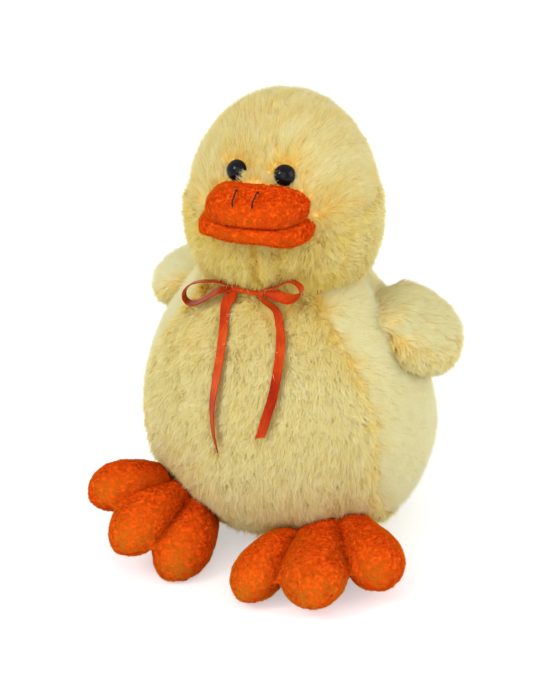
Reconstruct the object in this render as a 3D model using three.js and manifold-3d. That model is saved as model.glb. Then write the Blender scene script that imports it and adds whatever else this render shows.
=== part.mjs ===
// A plush toy chick that sits up: yellow pile body and head, orange bill and feet, a satin bow.
// Millimetres, +Z up. The chick faces -Y and its own left is +X. It sits on the plane z = 0.
// The solids follow the pile pressed flat, so the fur that stands up around them is left out.

import * as THREE from 'three';
import { mergeVertices } from 'three/addons/utils/BufferGeometryUtils.js';
import Module from 'manifold-3d';

const wasm = await Module();
wasm.setup();

// Cloth and fits
const COVER = 4;              // pile cloth, backing and pressed pile together
const SEAM_GAP = 0.3;         // between two panels at a seam, and between a cover and its stuffing
const SEAT_GAP = 0.4;         // between a limb and the body that it is sewn to
const SOLE_CUT = 0.5;         // how deep the soft forms are flattened where they rest

// Body
const BODY_WIDTH = 168;
const BODY_DEPTH = 152;
const BODY_WIDEST = 75;       // height of the widest ring
const BASE_RADIUS = 30;       // round patch that the body rests on
const NECK_HEIGHT = 161;
const NECK_RADIUS = 38;
const NECK_FORWARD = 6;       // how far the neck's axis lies in front of the body's
const BASE_SEAM = 15;         // height of the seam round the base panel
const BELLY_TOP = 27;         // half width of the belly panel at the neck
const BELLY_MIDDLE = 69;      // and at the widest ring
const BELLY_FOOT = 60;        // and at the base seam
const BELLY_NECK_PULL = 10;   // how far the belly seam's curve runs straight down from the neck
const BELLY_WIDE_PULL = 45;   // and straight up from the widest ring
const BELLY_FOOT_PULL = 15;   // and straight up from the base seam
const LOWER_ROUND = 2.1;      // powers that shape the body's outline: higher is fuller
const UPPER_ROUND = 1.75;
const SHOULDER_ROUND = 0.85;
const CHEST_LEAN = 1.5;

// Head
const HEAD_WIDTH = 106;
const HEAD_DEPTH = 107;
const HEAD_TOP = 260;
const HEAD_WIDEST = 195;
const HEAD_FORWARD = 11;      // how far the head's middle lies in front of the body's axis
const CHEEK_SEAM = 204;       // height of the seam between crown and cheeks, at the head's middle
const CHEEK_RISE = 6;         // degrees that the cheek seam climbs towards the back
const HEAD_TURN = 8;          // degrees that the head is turned towards the chick's left at rest
const JAW_ROUND = 2.7;        // powers that shape the head's outline: higher is fuller
const CROWN_ROUND = 1.95;
const HEAD_LEAN = 0.7;

// Bill
const BILL_HALF_WIDTH = 29.5;
const BILL_REACH = 26;        // how far the bill stands out of the face
const BILL_THICKNESS = 24;
const BILL_HEIGHT = 213;      // height of the upper bill's middle
const BILL_ROOT = 14;         // how far behind the face's foremost point the bill's middle lies
const BILL_CLOTH = 2;         // short pile cloth, for bill and feet
const LIP_OVERHANG = 3;       // how much wider the lower bill is on each side
const LIP_THICKNESS = 17;
const LIP_DROP = 11;          // from the upper bill's middle down to the lower bill's
const NOSTRIL_SPACING = 13;
const NOSTRIL_LENGTH = 9;
const NOSTRIL_PLACE = 0.62;   // where the stitches lie, as a share of the way from root to tip
const THREAD = 1.2;

// Safety eyes
const EYE_DIAMETER = 12;
const EYE_DOME = 4.6;
const EYE_SPACING = 28.5;
const EYE_HEIGHT = 229;
const EYE_RECESS = 2.2;       // the eye pulls the cloth in by this much
const SHANK_DIAMETER = 4;
const SHANK_LENGTH = 11;
const WASHER_DIAMETER = 15;
const WASHER_THICKNESS = 1.6;
const SHANK_FIT = 0.3;        // clearance round the shank
const EYE_RIM = 0.6;          // straight edge under the dome
const RIM_ROUND = 0.4;
const HUB_WALL = 1.4;         // the washer's gripping hub
const HUB_HEIGHT = 2;

// Wings
const WING_LENGTH = 48;
const WING_CHORD = 66;
const WING_THICKNESS = 25;
const WING_UP = 35;           // degrees that it lifts from rest
const WING_DOWN = 6;          // degrees that it sinks from rest
const WING_ROOT = 10;         // how far the wing's form runs on inside the body

// Where each wing's hinge lies, and in degrees how far it droops below level at rest, is swept
// back and has its front edge turned down.
const WING_LEFT = { side: 50, back: 9, height: 134, droop: 26, sweep: 24, pitch: 10 };
const WING_RIGHT = { side: 42, back: 17, height: 139, droop: 13, sweep: 8, pitch: 3 };

// Feet
const TOE_THICKNESS = 28.5;
const HEEL_THICKNESS = 19.5;
const TOE_BALL = 0.6;         // where a toe is widest, as a share of its length
const TOE_WAIST = 0.64;       // width at the heel over the width at the ball
const TOE_TIP = 0.25;         // thickness at the very tip over the thickness at the ball
const HEEL_RUN = 16;          // how far the foot's form runs on inside the body
const FOOT_HINGE_Z = 9;
const FOOT_UP = 10;
const FOOT_DOWN = 14;

// Each foot is sewn on and stuffed a little differently: turn is how far it points outwards and
// roll is how far its outer side is raised, in degrees. Each toe has its angle, the place beside
// the hinge where it starts, its length from the hinge and its width, the inner toe first.
const FOOT_LEFT = {
  side: 43.8, front: 39.8, lift: 2.9, turn: 18.8, roll: 5.5,
  toes: [[-18, -15, 80, 34], [4.7, -6.5, 87, 41.5], [21, 12.5, 70, 38]],
};
const FOOT_RIGHT = {
  side: 41.7, front: 49.1, lift: 13.2, turn: 8.8, roll: 30.8,
  toes: [[-20.3, -10.9, 66.5, 34.7], [-7.9, 5.2, 74.9, 36], [20.4, 8.6, 62.5, 36.3]],
};

// Ribbon, a quarter inch of satin
const RIBBON_WIDTH = 6.35;
const RIBBON_THICKNESS = 0.9;
const BAND_DROP = 5.6;        // how far the neck band's lower edge lies below the neck seam
const KNOT_WIDTH = 20;
const KNOT_HEIGHT = 7;
const KNOT_DEPTH = 6.4;
const KNOT_SIDE = 1;          // how far the knot lies towards the chick's left
const KNOT_TILT = 6;          // degrees that the bow rises towards the chick's left
const LOOP_STEPS = 22;
const TAIL_STEPS = 16;
const TAIL_LEFT_TWIST = 10;   // degrees that each tail has turned on itself at its end
const TAIL_RIGHT_TWIST = 60;

// The bow's routes, chosen by hand: each point is [x, y, z].
const LOOP_RIGHT = [
  [-9.6, -56.2, 161.4], [-16.2, -55.9, 162.6], [-23.1, -55, 161.4], [-30.2, -53.4, 159.4],
  [-36.5, -51.8, 156.4], [-40.6, -50.6, 152.4], [-42.3, -50, 148.8], [-41.7, -50, 145.9],
  [-38.4, -50.6, 144.3], [-33.7, -51.6, 145.5], [-28.4, -53, 149], [-22.8, -54.2, 153.4],
  [-17.1, -55.3, 157.1], [-9.6, -56.2, 159.5],
];
const LOOP_LEFT = [
  [11.6, -56.4, 163.6], [18.9, -57.2, 166.3], [23.5, -57.8, 169.4], [27.2, -57.9, 171.2],
  [30.6, -57.4, 170.4], [33.2, -56.8, 168], [33.5, -56.6, 165.1], [31.3, -57, 162.2],
  [27, -57.2, 160.2], [22, -57.2, 160.4], [17.5, -56.8, 161.2], [11.6, -56.4, 161.7],
];
const TAIL_RIGHT = [
  [-8.2, -56.4, 156.6], [-10.8, -56.7, 153.6], [-12.6, -57.2, 149.6], [-12.2, -59.2, 144.6],
  [-10.7, -64.4, 135.9], [-9.9, -69.7, 124.5], [-10.4, -75.1, 109.1], [-10.9, -78, 96.2],
  [-9.3, -80.1, 83.4], [-7, -80.8, 73.4],
];
const TAIL_LEFT = [
  [8.8, -56.2, 157.3], [11.8, -55.4, 154.9], [15.2, -54.8, 152.6], [18, -55, 149.6],
  [20.6, -57.4, 144.2], [22.9, -60.6, 138], [24.4, -65.9, 125.9], [24, -72.6, 108.1],
  [22.3, -75.6, 98.7], [19, -78.6, 84.2],
];

// Facets
const BODY_RINGS = 15;
const BODY_SIDES = 34;
const HEAD_RINGS = 14;
const HEAD_SIDES = 30;
const BILL_SIDES = 20;
const CORE_RINGS = 8;
const CORE_SIDES = 18;
const LIMB_RINGS = 7;
const LIMB_SIDES = 12;
const PADDING_RINGS = 4;
const PADDING_SIDES = 8;
const SMALL_SIDES = 14;

const degrees = THREE.MathUtils.degToRad;
const vec = (x, y, z) => new THREE.Vector3(x, y, z);

// Solids

// A closed skin over a row of equal rings of points, pinched to a point at each end.
function loft(rings, start, end) {
  const sides = rings[0].length;
  const points = [start, ...rings.flat(), end];
  const index = [];
  for (let j = 0; j < sides; j += 1) {
    const next = (j + 1) % sides;
    index.push(0, 1 + next, 1 + j);
    const last = 1 + (rings.length - 1) * sides;
    index.push(points.length - 1, last + j, last + next);
    for (let i = 0; i < rings.length - 1; i += 1) {
      const low = 1 + i * sides;
      const high = low + sides;
      index.push(low + j, low + next, high + next);
      index.push(low + j, high + next, high + j);
    }
  }
  const geometry = new THREE.BufferGeometry();
  const position = new THREE.Float32BufferAttribute(points.flatMap((p) => p.toArray()), 3);
  geometry.setAttribute('position', position);
  geometry.setIndex(index);
  return solidOf(geometry);
}

function solidOf(geometry) {
  const bare = geometry.clone();
  bare.deleteAttribute('normal');
  bare.deleteAttribute('uv');
  const merged = mergeVertices(bare, 1e-4);
  const triVerts = new Uint32Array(merged.index.array);
  const vertProperties = new Float32Array(merged.attributes.position.array);
  if (signedVolume(vertProperties, triVerts) < 0) {
    for (let i = 0; i < triVerts.length; i += 3) {
      [triVerts[i + 1], triVerts[i + 2]] = [triVerts[i + 2], triVerts[i + 1]];
    }
  }
  return new wasm.Manifold(new wasm.Mesh({ numProp: 3, vertProperties, triVerts }));
}

function signedVolume(vertices, triangles) {
  const corner = (i) => vec().fromArray(vertices, triangles[i] * 3);
  let sum = 0;
  for (let i = 0; i < triangles.length; i += 3) {
    sum += corner(i).dot(corner(i + 1).cross(corner(i + 2)));
  }
  return sum / 6;
}

function geometryOf(solid) {
  const mesh = solid.getMesh();
  const geometry = new THREE.BufferGeometry();
  geometry.setAttribute('position', new THREE.BufferAttribute(mesh.vertProperties, 3));
  geometry.setIndex(new THREE.BufferAttribute(mesh.triVerts, 1));
  geometry.computeVertexNormals();
  return geometry;
}

const placed = (solid, matrix) => solid.transform(matrix.elements);

function box(low, high) {
  const size = vec().subVectors(high, low);
  const geometry = new THREE.BoxGeometry(size.x, size.y, size.z);
  const middle = vec().addVectors(low, high).multiplyScalar(0.5);
  geometry.translate(middle.x, middle.y, middle.z);
  return solidOf(geometry);
}

const FAR = 400;              // larger than the toy, for the boxes that cut it
const above = (z) => box(vec(-FAR, -FAR, z), vec(FAR, FAR, FAR));
const below = (z) => box(vec(-FAR, -FAR, -FAR), vec(FAR, FAR, z));
const leftOf = (x) => box(vec(x, -FAR, -FAR), vec(FAR, FAR, FAR));
const rightOf = (x) => box(vec(-FAR, -FAR, -FAR), vec(x, FAR, FAR));

// A turn about an axis through a point.
function turned(point, axis, angle) {
  const back = new THREE.Matrix4().makeTranslation(-point.x, -point.y, -point.z);
  const turn = new THREE.Matrix4().makeRotationAxis(axis, degrees(angle));
  const out = new THREE.Matrix4().makeTranslation(point.x, point.y, point.z);
  return out.multiply(turn).multiply(back);
}

// Materials
const yellowPile = new THREE.MeshStandardMaterial({ color: 0xe8d58c, roughness: 0.95 });
const curlyPile = new THREE.MeshStandardMaterial({ color: 0xe3cf86, roughness: 1 });
const orangePlush = new THREE.MeshStandardMaterial({ color: 0xe0561a, roughness: 0.9 });
const satin = new THREE.MeshStandardMaterial({ color: 0xd8431c, roughness: 0.4 });
const blackPlastic = new THREE.MeshStandardMaterial({ color: 0x101012, roughness: 0.15 });
const whitePlastic = new THREE.MeshStandardMaterial({ color: 0xe8e8e4, roughness: 0.5 });
const blackThread = new THREE.MeshStandardMaterial({ color: 0x1c1210, roughness: 0.8 });
const fibre = new THREE.MeshStandardMaterial({ color: 0xf4f3ee, roughness: 1 });

const chick = new THREE.Group();
const headGroup = new THREE.Group();
chick.add(headGroup);

function piece(name, solid, material, group = chick) {
  const mesh = new THREE.Mesh(geometryOf(solid), material);
  mesh.name = name;
  group.add(mesh);
}

// Body form: round rings that swell from the base to the widest ring and close in to the neck.
const NECK_AXIS = vec(0, -NECK_FORWARD, 0);

function bodySwell(z) {
  if (z < BODY_WIDEST) {
    const fall = 1 - z / BODY_WIDEST;
    return { share: (1 - fall ** LOWER_ROUND) ** 0.5, from: BASE_RADIUS };
  }
  const climb = (z - BODY_WIDEST) / (NECK_HEIGHT - BODY_WIDEST);
  return { share: (1 - Math.min(climb, 1) ** UPPER_ROUND) ** SHOULDER_ROUND, from: NECK_RADIUS };
}

function bodyRing(z, inset) {
  const { share, from } = bodySwell(z);
  const climb = Math.max(0, (z - BODY_WIDEST) / (NECK_HEIGHT - BODY_WIDEST));
  return {
    x: from + (BODY_WIDTH / 2 - from) * share - inset,
    y: from + (BODY_DEPTH / 2 - from) * share - inset,
    forward: NECK_FORWARD * climb ** CHEST_LEAN,
  };
}

function ellipse(halfX, halfY, centreY, z, sides) {
  const ring = [];
  for (let j = 0; j < sides; j += 1) {
    const a = (2 * Math.PI * j) / sides;
    ring.push(vec(halfX * Math.cos(a), centreY + halfY * Math.sin(a), z));
  }
  return ring;
}

// Heights bunched towards both ends, where the outline turns quickly.
function heights(low, high, count) {
  const list = [];
  for (let i = 0; i <= count; i += 1) {
    list.push(low + ((high - low) * (1 - Math.cos((Math.PI * i) / count))) / 2);
  }
  return list;
}

function bodyForm(inset, rings, sides) {
  const squeeze = (z) => inset + (z * (NECK_HEIGHT - 2 * inset)) / NECK_HEIGHT;
  const list = heights(0, NECK_HEIGHT, rings).map((z) => {
    const ring = bodyRing(z, inset);
    return ellipse(ring.x, ring.y, -ring.forward, squeeze(z), sides);
  });
  return loft(list, vec(0, 0, inset), vec(0, -NECK_FORWARD, NECK_HEIGHT - inset));
}

const bodyOuter = bodyForm(0, BODY_RINGS, BODY_SIDES);
const bodyCutter = bodyForm(-SEAT_GAP, BODY_RINGS, BODY_SIDES);

function neckHole(low, high, radius) {
  const geometry = new THREE.CylinderGeometry(radius, radius, high - low, CORE_SIDES);
  geometry.rotateX(Math.PI / 2);
  geometry.translate(0, -NECK_FORWARD, (low + high) / 2);
  return solidOf(geometry);
}

const neckInner = NECK_RADIUS - COVER;
const neckOpening = neckHole(NECK_HEIGHT - 4 * COVER, NECK_HEIGHT + COVER, neckInner);
const bodyCover = bodyOuter
  .subtract(bodyForm(COVER, CORE_RINGS, CORE_SIDES))
  .subtract(neckOpening);

// The belly panel's outline seen from the front, extruded from front to back.
function bellyRegion(grow) {
  const shape = new THREE.Shape();
  shape.moveTo(-BELLY_TOP - grow, NECK_HEIGHT + COVER);
  shape.bezierCurveTo(
    -BELLY_TOP - grow, NECK_HEIGHT - BELLY_NECK_PULL,
    -BELLY_MIDDLE - grow, BODY_WIDEST + BELLY_WIDE_PULL,
    -BELLY_MIDDLE - grow, BODY_WIDEST,
  );
  shape.quadraticCurveTo(
    -BELLY_MIDDLE - grow, BASE_SEAM + BELLY_FOOT_PULL,
    -BELLY_FOOT - grow, -COVER,
  );
  shape.lineTo(BELLY_FOOT + grow, -COVER);
  shape.quadraticCurveTo(
    BELLY_MIDDLE + grow, BASE_SEAM + BELLY_FOOT_PULL,
    BELLY_MIDDLE + grow, BODY_WIDEST,
  );
  shape.bezierCurveTo(
    BELLY_MIDDLE + grow, BODY_WIDEST + BELLY_WIDE_PULL,
    BELLY_TOP + grow, NECK_HEIGHT - BELLY_NECK_PULL,
    BELLY_TOP + grow, NECK_HEIGHT + COVER,
  );
  const depth = BODY_DEPTH + grow;
  const geometry = new THREE.ExtrudeGeometry(shape, { depth, bevelEnabled: false, curveSegments: 8 });
  geometry.rotateX(Math.PI / 2);
  return solidOf(geometry);
}

const walls = bodyCover.intersect(above(BASE_SEAM + SEAM_GAP));
const sides = walls.subtract(bellyRegion(SEAM_GAP));
piece('base_panel', bodyCover.intersect(below(BASE_SEAM)), yellowPile);
piece('belly_panel', walls.intersect(bellyRegion(0)), curlyPile);
piece('side_panel_left', sides.intersect(leftOf(SEAM_GAP / 2)), yellowPile);
piece('side_panel_right', sides.intersect(rightOf(-SEAM_GAP / 2)), yellowPile);
const neckFill = neckHole(NECK_HEIGHT - 4 * COVER, NECK_HEIGHT, neckInner - SEAM_GAP);
const bodyCore = bodyForm(COVER + SEAM_GAP, CORE_RINGS, CORE_SIDES).add(neckFill);
piece('body_stuffing', bodyCore, fibre);

// Head form: an egg with its narrow end cut off at the neck, about the same upright axis there.
const HEAD_LOW = NECK_HEIGHT + SEAM_GAP;

function headRing(z, inset) {
  const low = z < HEAD_WIDEST;
  const end = low ? HEAD_LOW : HEAD_TOP;
  const u = (z - HEAD_WIDEST) / (end - HEAD_WIDEST);
  const share = Math.max(0, 1 - u ** (low ? JAW_ROUND : CROWN_ROUND)) ** 0.5;
  const from = low ? NECK_RADIUS : 0;
  const settle = low ? (1 - u) ** HEAD_LEAN : 1;
  return {
    x: from + (HEAD_WIDTH / 2 - from) * share - inset,
    y: from + (HEAD_DEPTH / 2 - from) * share - inset,
    forward: NECK_FORWARD + (HEAD_FORWARD - NECK_FORWARD) * settle,
  };
}

function headForm(inset, rings, sides) {
  const height = HEAD_TOP - HEAD_LOW;
  const squeeze = (z) => HEAD_LOW + inset + ((z - HEAD_LOW) * (height - 2 * inset)) / height;
  const list = heights(HEAD_LOW, HEAD_TOP, rings).slice(0, -1).map((z) => {
    const ring = headRing(z, inset);
    return ellipse(Math.max(ring.x, 1), Math.max(ring.y, 1), -ring.forward, squeeze(z), sides);
  });
  return loft(list, vec(0, -NECK_FORWARD, HEAD_LOW + inset), vec(0, -HEAD_FORWARD, HEAD_TOP - inset));
}

const headOuter = headForm(0, HEAD_RINGS, HEAD_SIDES);
const headCutter = headForm(-SEAT_GAP, HEAD_RINGS, HEAD_SIDES);

// Where a ray from the head's middle towards a point meets the cover, and its outward normal.
function onHead(x, z) {
  const ring = headRing(z, 0);
  const y = -ring.forward - ring.y * Math.sqrt(1 - (x / ring.x) ** 2);
  const up = (z - HEAD_WIDEST) / (HEAD_TOP - HEAD_WIDEST) ** 2;
  const normal = vec(x / ring.x ** 2, (y + ring.forward) / ring.y ** 2, up).normalize();
  return { point: vec(x, y, z), normal };
}

// Turned parts stand on an axis that starts at a point and runs along a normal.
function turnedPart(profile, point, normal, sides) {
  const geometry = new THREE.LatheGeometry(profile.map(([r, h]) => new THREE.Vector2(r, h)), sides);
  const spin = new THREE.Quaternion().setFromUnitVectors(vec(0, 1, 0), normal);
  const matrix = new THREE.Matrix4().makeRotationFromQuaternion(spin).setPosition(point);
  return placed(solidOf(geometry), matrix);
}

function eyeParts(side) {
  const { point, normal } = onHead((side * EYE_SPACING) / 2, EYE_HEIGHT);
  const seat = point.clone().addScaledVector(normal, -EYE_RECESS);
  const r = EYE_DIAMETER / 2;
  const shank = SHANK_DIAMETER / 2;
  const rim = SEAM_GAP + EYE_RIM;
  const dome = [
    [0, -SHANK_LENGTH], [shank, -SHANK_LENGTH], [shank, SEAM_GAP],
    [r - RIM_ROUND, SEAM_GAP], [r, rim],
  ];
  for (const a of [25, 50, 72]) {
    dome.push([r * Math.cos(degrees(a)), rim + (EYE_DOME - rim) * Math.sin(degrees(a))]);
  }
  dome.push([0, EYE_DOME]);
  const washerTop = -COVER + EYE_RECESS - SEAM_GAP;
  const washerLow = washerTop - WASHER_THICKNESS;
  const hubLow = washerLow - HUB_HEIGHT;
  const hole = shank + SHANK_FIT;
  const hub = hole + HUB_WALL;
  const wide = WASHER_DIAMETER / 2;
  const washer = [
    [hole, washerTop], [hole, hubLow], [hub, hubLow], [hub, washerLow],
    [wide, washerLow], [wide, washerTop], [hole, washerTop],
  ];
  const seatRadius = r + SEAT_GAP;
  const plug = (radius, low, high) => turnedPart(
    [[0, low], [radius, low], [radius, high], [0, high]], seat, normal, SMALL_SIDES,
  );
  const flare = 2 * EYE_RECESS;
  return {
    eye: turnedPart(dome, seat, normal, SMALL_SIDES),
    washer: turnedPart(washer, seat, normal, SMALL_SIDES),
    recess: turnedPart(
      [[0, 0], [seatRadius, 0], [seatRadius + EYE_RECESS, flare], [0, flare]],
      seat, normal, SMALL_SIDES,
    ),
    shankHole: plug(hole, -2 * COVER, COVER),
    washerRoom: plug(wide + SEAM_GAP, hubLow - SEAM_GAP, washerTop + SEAM_GAP),
    stuffingRoom: plug(wide + SEAM_GAP, -SHANK_LENGTH - SEAM_GAP, COVER),
  };
}

const eyes = { left: eyeParts(1), right: eyeParts(-1) };
const headOpening = neckHole(HEAD_LOW - COVER, HEAD_LOW + 4 * COVER, neckInner);
const headFill = neckHole(HEAD_LOW, HEAD_LOW + 4 * COVER, neckInner - SEAM_GAP);
let headCover = headOuter.subtract(headForm(COVER, CORE_RINGS, CORE_SIDES)).subtract(headOpening);
let headCore = headForm(COVER + SEAM_GAP, CORE_RINGS, CORE_SIDES).add(headFill);
for (const parts of Object.values(eyes)) {
  headCover = headCover.subtract(parts.recess).subtract(parts.shankHole).subtract(parts.washerRoom);
  headCore = headCore.subtract(parts.stuffingRoom);
}

function cheekCut(offset, up) {
  const slab = up ? above(offset) : below(offset);
  const axis = vec(0, -HEAD_FORWARD, 0);
  const tilt = turned(axis, vec(1, 0, 0), CHEEK_RISE);
  return placed(slab, new THREE.Matrix4().makeTranslation(0, 0, CHEEK_SEAM).multiply(tilt));
}

const crown = headCover.intersect(cheekCut(SEAM_GAP / 2, true));
const cheeks = headCover.intersect(cheekCut(-SEAM_GAP / 2, false));
piece('crown_panel_left', crown.intersect(leftOf(SEAM_GAP / 2)), yellowPile, headGroup);
piece('crown_panel_right', crown.intersect(rightOf(-SEAM_GAP / 2)), yellowPile, headGroup);
piece('cheek_panel_left', cheeks.intersect(leftOf(SEAM_GAP / 2)), curlyPile, headGroup);
piece('cheek_panel_right', cheeks.intersect(rightOf(-SEAM_GAP / 2)), curlyPile, headGroup);
piece('head_stuffing', headCore, fibre, headGroup);
for (const [side, parts] of Object.entries(eyes)) {
  piece(`eye_${side}`, parts.eye, blackPlastic, headGroup);
  piece(`eye_washer_${side}`, parts.washer, whitePlastic, headGroup);
}

// Bill: two stuffed pouches sewn to the face, the lower one peeping out all round the upper.
const CUSHION_SQUARE = 0.8;   // 1 is round, and lower is squarer
const signedPower = (value, power) => Math.sign(value) * Math.abs(value) ** power;

function cushion(halfX, halfY, halfZ, centre) {
  const rings = [];
  for (let i = 1; i < LIMB_RINGS; i += 1) {
    const low = -Math.PI / 2 + (Math.PI * i) / LIMB_RINGS;
    const ring = [];
    const reach = Math.cos(low) ** CUSHION_SQUARE;
    for (let j = 0; j < BILL_SIDES; j += 1) {
      const a = (2 * Math.PI * j) / BILL_SIDES;
      const x = halfX * reach * signedPower(Math.cos(a), CUSHION_SQUARE);
      const y = halfY * reach * signedPower(Math.sin(a), CUSHION_SQUARE);
      ring.push(vec(x, y, halfZ * signedPower(Math.sin(low), CUSHION_SQUARE)).add(centre));
    }
    rings.push(ring);
  }
  return loft(rings, vec(0, 0, -halfZ).add(centre), vec(0, 0, halfZ).add(centre));
}

const faceY = -HEAD_FORWARD - HEAD_DEPTH / 2;
const billMiddle = vec(0, faceY + BILL_ROOT, BILL_HEIGHT);
const lipMiddle = vec(0, faceY + BILL_ROOT, BILL_HEIGHT - LIP_DROP);
const billLength = BILL_REACH + BILL_ROOT;

function upperBill(inset) {
  const high = BILL_THICKNESS / 2 - inset;
  return cushion(BILL_HALF_WIDTH - inset, billLength - inset, high, billMiddle);
}

function lowerBill(inset) {
  const wide = BILL_HALF_WIDTH + LIP_OVERHANG;
  return cushion(wide - inset, billLength - inset, LIP_THICKNESS / 2 - inset, lipMiddle);
}

const upperSolid = upperBill(0).subtract(headCutter);
const lipCutter = upperBill(-SEAT_GAP).add(headCutter);
const lowerSolid = lowerBill(0).subtract(lipCutter);

// Nostrils: two straight stitches of black thread on top of the upper bill.
function nostril(side) {
  const x = (side * NOSTRIL_SPACING) / 2;
  const height = (share) => {
    const across = (Math.abs(x) / BILL_HALF_WIDTH) ** (2 / CUSHION_SQUARE);
    const along = share ** (2 / CUSHION_SQUARE);
    return (BILL_THICKNESS / 2) * (1 - across - along) ** (CUSHION_SQUARE / 2);
  };
  const half = NOSTRIL_LENGTH / 2 / billLength;
  const fall = height(NOSTRIL_PLACE - half) - height(NOSTRIL_PLACE + half);
  const matrix = new THREE.Matrix4().makeRotationX(Math.atan2(fall, NOSTRIL_LENGTH));
  const y = billMiddle.y - billLength * NOSTRIL_PLACE;
  matrix.setPosition(vec(x, y, BILL_HEIGHT + height(NOSTRIL_PLACE)));
  const geometry = new THREE.CapsuleGeometry(THREAD / 2, NOSTRIL_LENGTH, 2, 6);
  return { stitch: placed(solidOf(geometry), matrix), matrix };
}

const nostrils = { left: nostril(1), right: nostril(-1) };
let billCover = upperSolid.subtract(upperBill(BILL_CLOTH));
for (const [side, { stitch, matrix }] of Object.entries(nostrils)) {
  const groove = new THREE.CapsuleGeometry(THREAD / 2 + SEAM_GAP, NOSTRIL_LENGTH, 2, 6);
  billCover = billCover.subtract(placed(solidOf(groove), matrix));
  piece(`nostril_stitch_${side}`, stitch, blackThread, headGroup);
}
piece('upper_bill', billCover, orangePlush, headGroup);
piece('upper_bill_stuffing', upperBill(BILL_CLOTH + SEAM_GAP).subtract(headCutter), fibre, headGroup);
piece('lower_bill', lowerSolid.subtract(lowerBill(BILL_CLOTH)), orangePlush, headGroup);
const lipStuffing = lowerBill(BILL_CLOTH + SEAM_GAP);
const lipHollow = upperBill(-SEAT_GAP - BILL_CLOTH - SEAM_GAP).add(headCutter);
piece('lower_bill_stuffing', lipStuffing.subtract(lipHollow), fibre, headGroup);

// The head is turned a little about the upright axis of the neck.
headGroup.applyMatrix4(turned(NECK_AXIS, vec(0, 0, 1), HEAD_TURN));

// Wings: padded paddles sewn into the shoulder seam. Each root keeps clear of the body as it
// swings, so it is cut by the body at every few degrees of its travel.
function sweepCut(limb, cutter, point, axis, low, high, step) {
  let result = limb;
  const count = Math.ceil((high - low) / step);
  for (let i = 0; i <= count; i += 1) {
    const angle = low + ((high - low) * i) / count;
    result = result.subtract(placed(cutter, turned(point, axis, -angle)));
  }
  return result;
}

const wingPlan = new THREE.SplineCurve([
  new THREE.Vector2(-0.16, 0.5), new THREE.Vector2(0, 0.72), new THREE.Vector2(0.25, 0.93),
  new THREE.Vector2(0.55, 1), new THREE.Vector2(0.84, 0.76), new THREE.Vector2(0.97, 0.36),
]);

function wingForm(inset) {
  const rings = [];
  for (let i = 0; i <= LIMB_RINGS; i += 1) {
    const { x: share, y: wide } = wingPlan.getPoint(i / LIMB_RINGS);
    const along = share * (WING_LENGTH - inset);
    const ring = [];
    for (let j = 0; j < LIMB_SIDES; j += 1) {
      const a = (2 * Math.PI * j) / LIMB_SIDES;
      const chord = Math.max((WING_CHORD / 2) * wide - inset, 1);
      const thick = Math.max((WING_THICKNESS / 2) * wide ** 0.7 - inset, 1);
      ring.push(vec(along, chord * Math.cos(a), thick * Math.sin(a)));
    }
    rings.push(ring);
  }
  return loft(rings, vec(-WING_ROOT, 0, 0), vec(WING_LENGTH - inset, 0, 0));
}

function wing(side, { side: x, back, height, droop, sweep, pitch }) {
  const hinge = vec(x, back, height);
  const axis = vec(0, -1, 0).applyAxisAngle(vec(0, 0, 1), degrees(sweep));
  const pose = new THREE.Matrix4().makeRotationAxis(axis, degrees(-droop));
  pose.multiply(new THREE.Matrix4().makeRotationZ(degrees(sweep)));
  pose.multiply(new THREE.Matrix4().makeRotationX(degrees(pitch)));
  pose.setPosition(hinge);
  const mirror = new THREE.Matrix4().makeScale(side, 1, 1);
  const cut = (limb) => sweepCut(placed(limb, pose), bodyCutter, hinge, axis, -WING_DOWN, WING_UP, 10);
  const name = side > 0 ? 'left' : 'right';
  const cover = cut(wingForm(0)).subtract(placed(wingForm(COVER), pose));
  const core = cut(wingForm(COVER + SEAM_GAP));
  piece(`wing_${name}`, placed(cover, mirror), yellowPile);
  piece(`wing_stuffing_${name}`, placed(core, mirror), fibre);
}

wing(1, WING_LEFT);
wing(-1, WING_RIGHT);

// Feet: flat pouches with three stuffed toes, sewn into the seam round the base.
const TOE_END = 0.99;         // the last ring, as a share of the toe's length
function toe(length, width, inset, rings, sides) {
  const start = -HEEL_RUN / length;
  const list = [];
  for (let i = 0; i <= rings; i += 1) {
    const along = start + (TOE_END - start) * Math.sin((Math.PI / 2) * (i / rings)) ** 0.8;
    const swell = Math.sin((Math.PI / 2) * Math.min(Math.max(along / TOE_BALL, 0), 1));
    const past = Math.max(0, (along - TOE_BALL) / (1 - TOE_BALL));
    const round = (1 - past ** 2) ** 0.5;
    const wide = (width / 2) * (TOE_WAIST + (1 - TOE_WAIST) * swell) * round - inset;
    const half = (HEEL_THICKNESS + (TOE_THICKNESS - HEEL_THICKNESS) * swell) / 2;
    const thick = half * (TOE_TIP + (1 - TOE_TIP) * round) - inset;
    const middle = half - FOOT_HINGE_Z - SOLE_CUT;
    const ring = [];
    for (let j = 0; j < sides; j += 1) {
      const a = (2 * Math.PI * j) / sides;
      const y = -along * (length - inset);
      ring.push(vec(Math.max(wide, 1) * Math.cos(a), y, middle + Math.max(thick, 1) * Math.sin(a)));
    }
    list.push(ring);
  }
  const tipHigh = TOE_THICKNESS / 2 - FOOT_HINGE_Z - SOLE_CUT;
  const heelHigh = HEEL_THICKNESS / 2 - FOOT_HINGE_Z - SOLE_CUT;
  return loft(list, vec(0, HEEL_RUN + SEAM_GAP, heelHigh), vec(0, -length + inset, tipHigh));
}

function footForm(side, toes, inset, rings, sides) {
  const forms = toes.map(([angle, shift, length, width]) => {
    const spread = new THREE.Matrix4().makeRotationZ(degrees(side * angle));
    spread.setPosition(vec(side * shift, 0, 0));
    return placed(toe(length, width, inset, rings, sides), spread);
  });
  return forms.reduce((whole, form) => whole.add(form));
}

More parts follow.
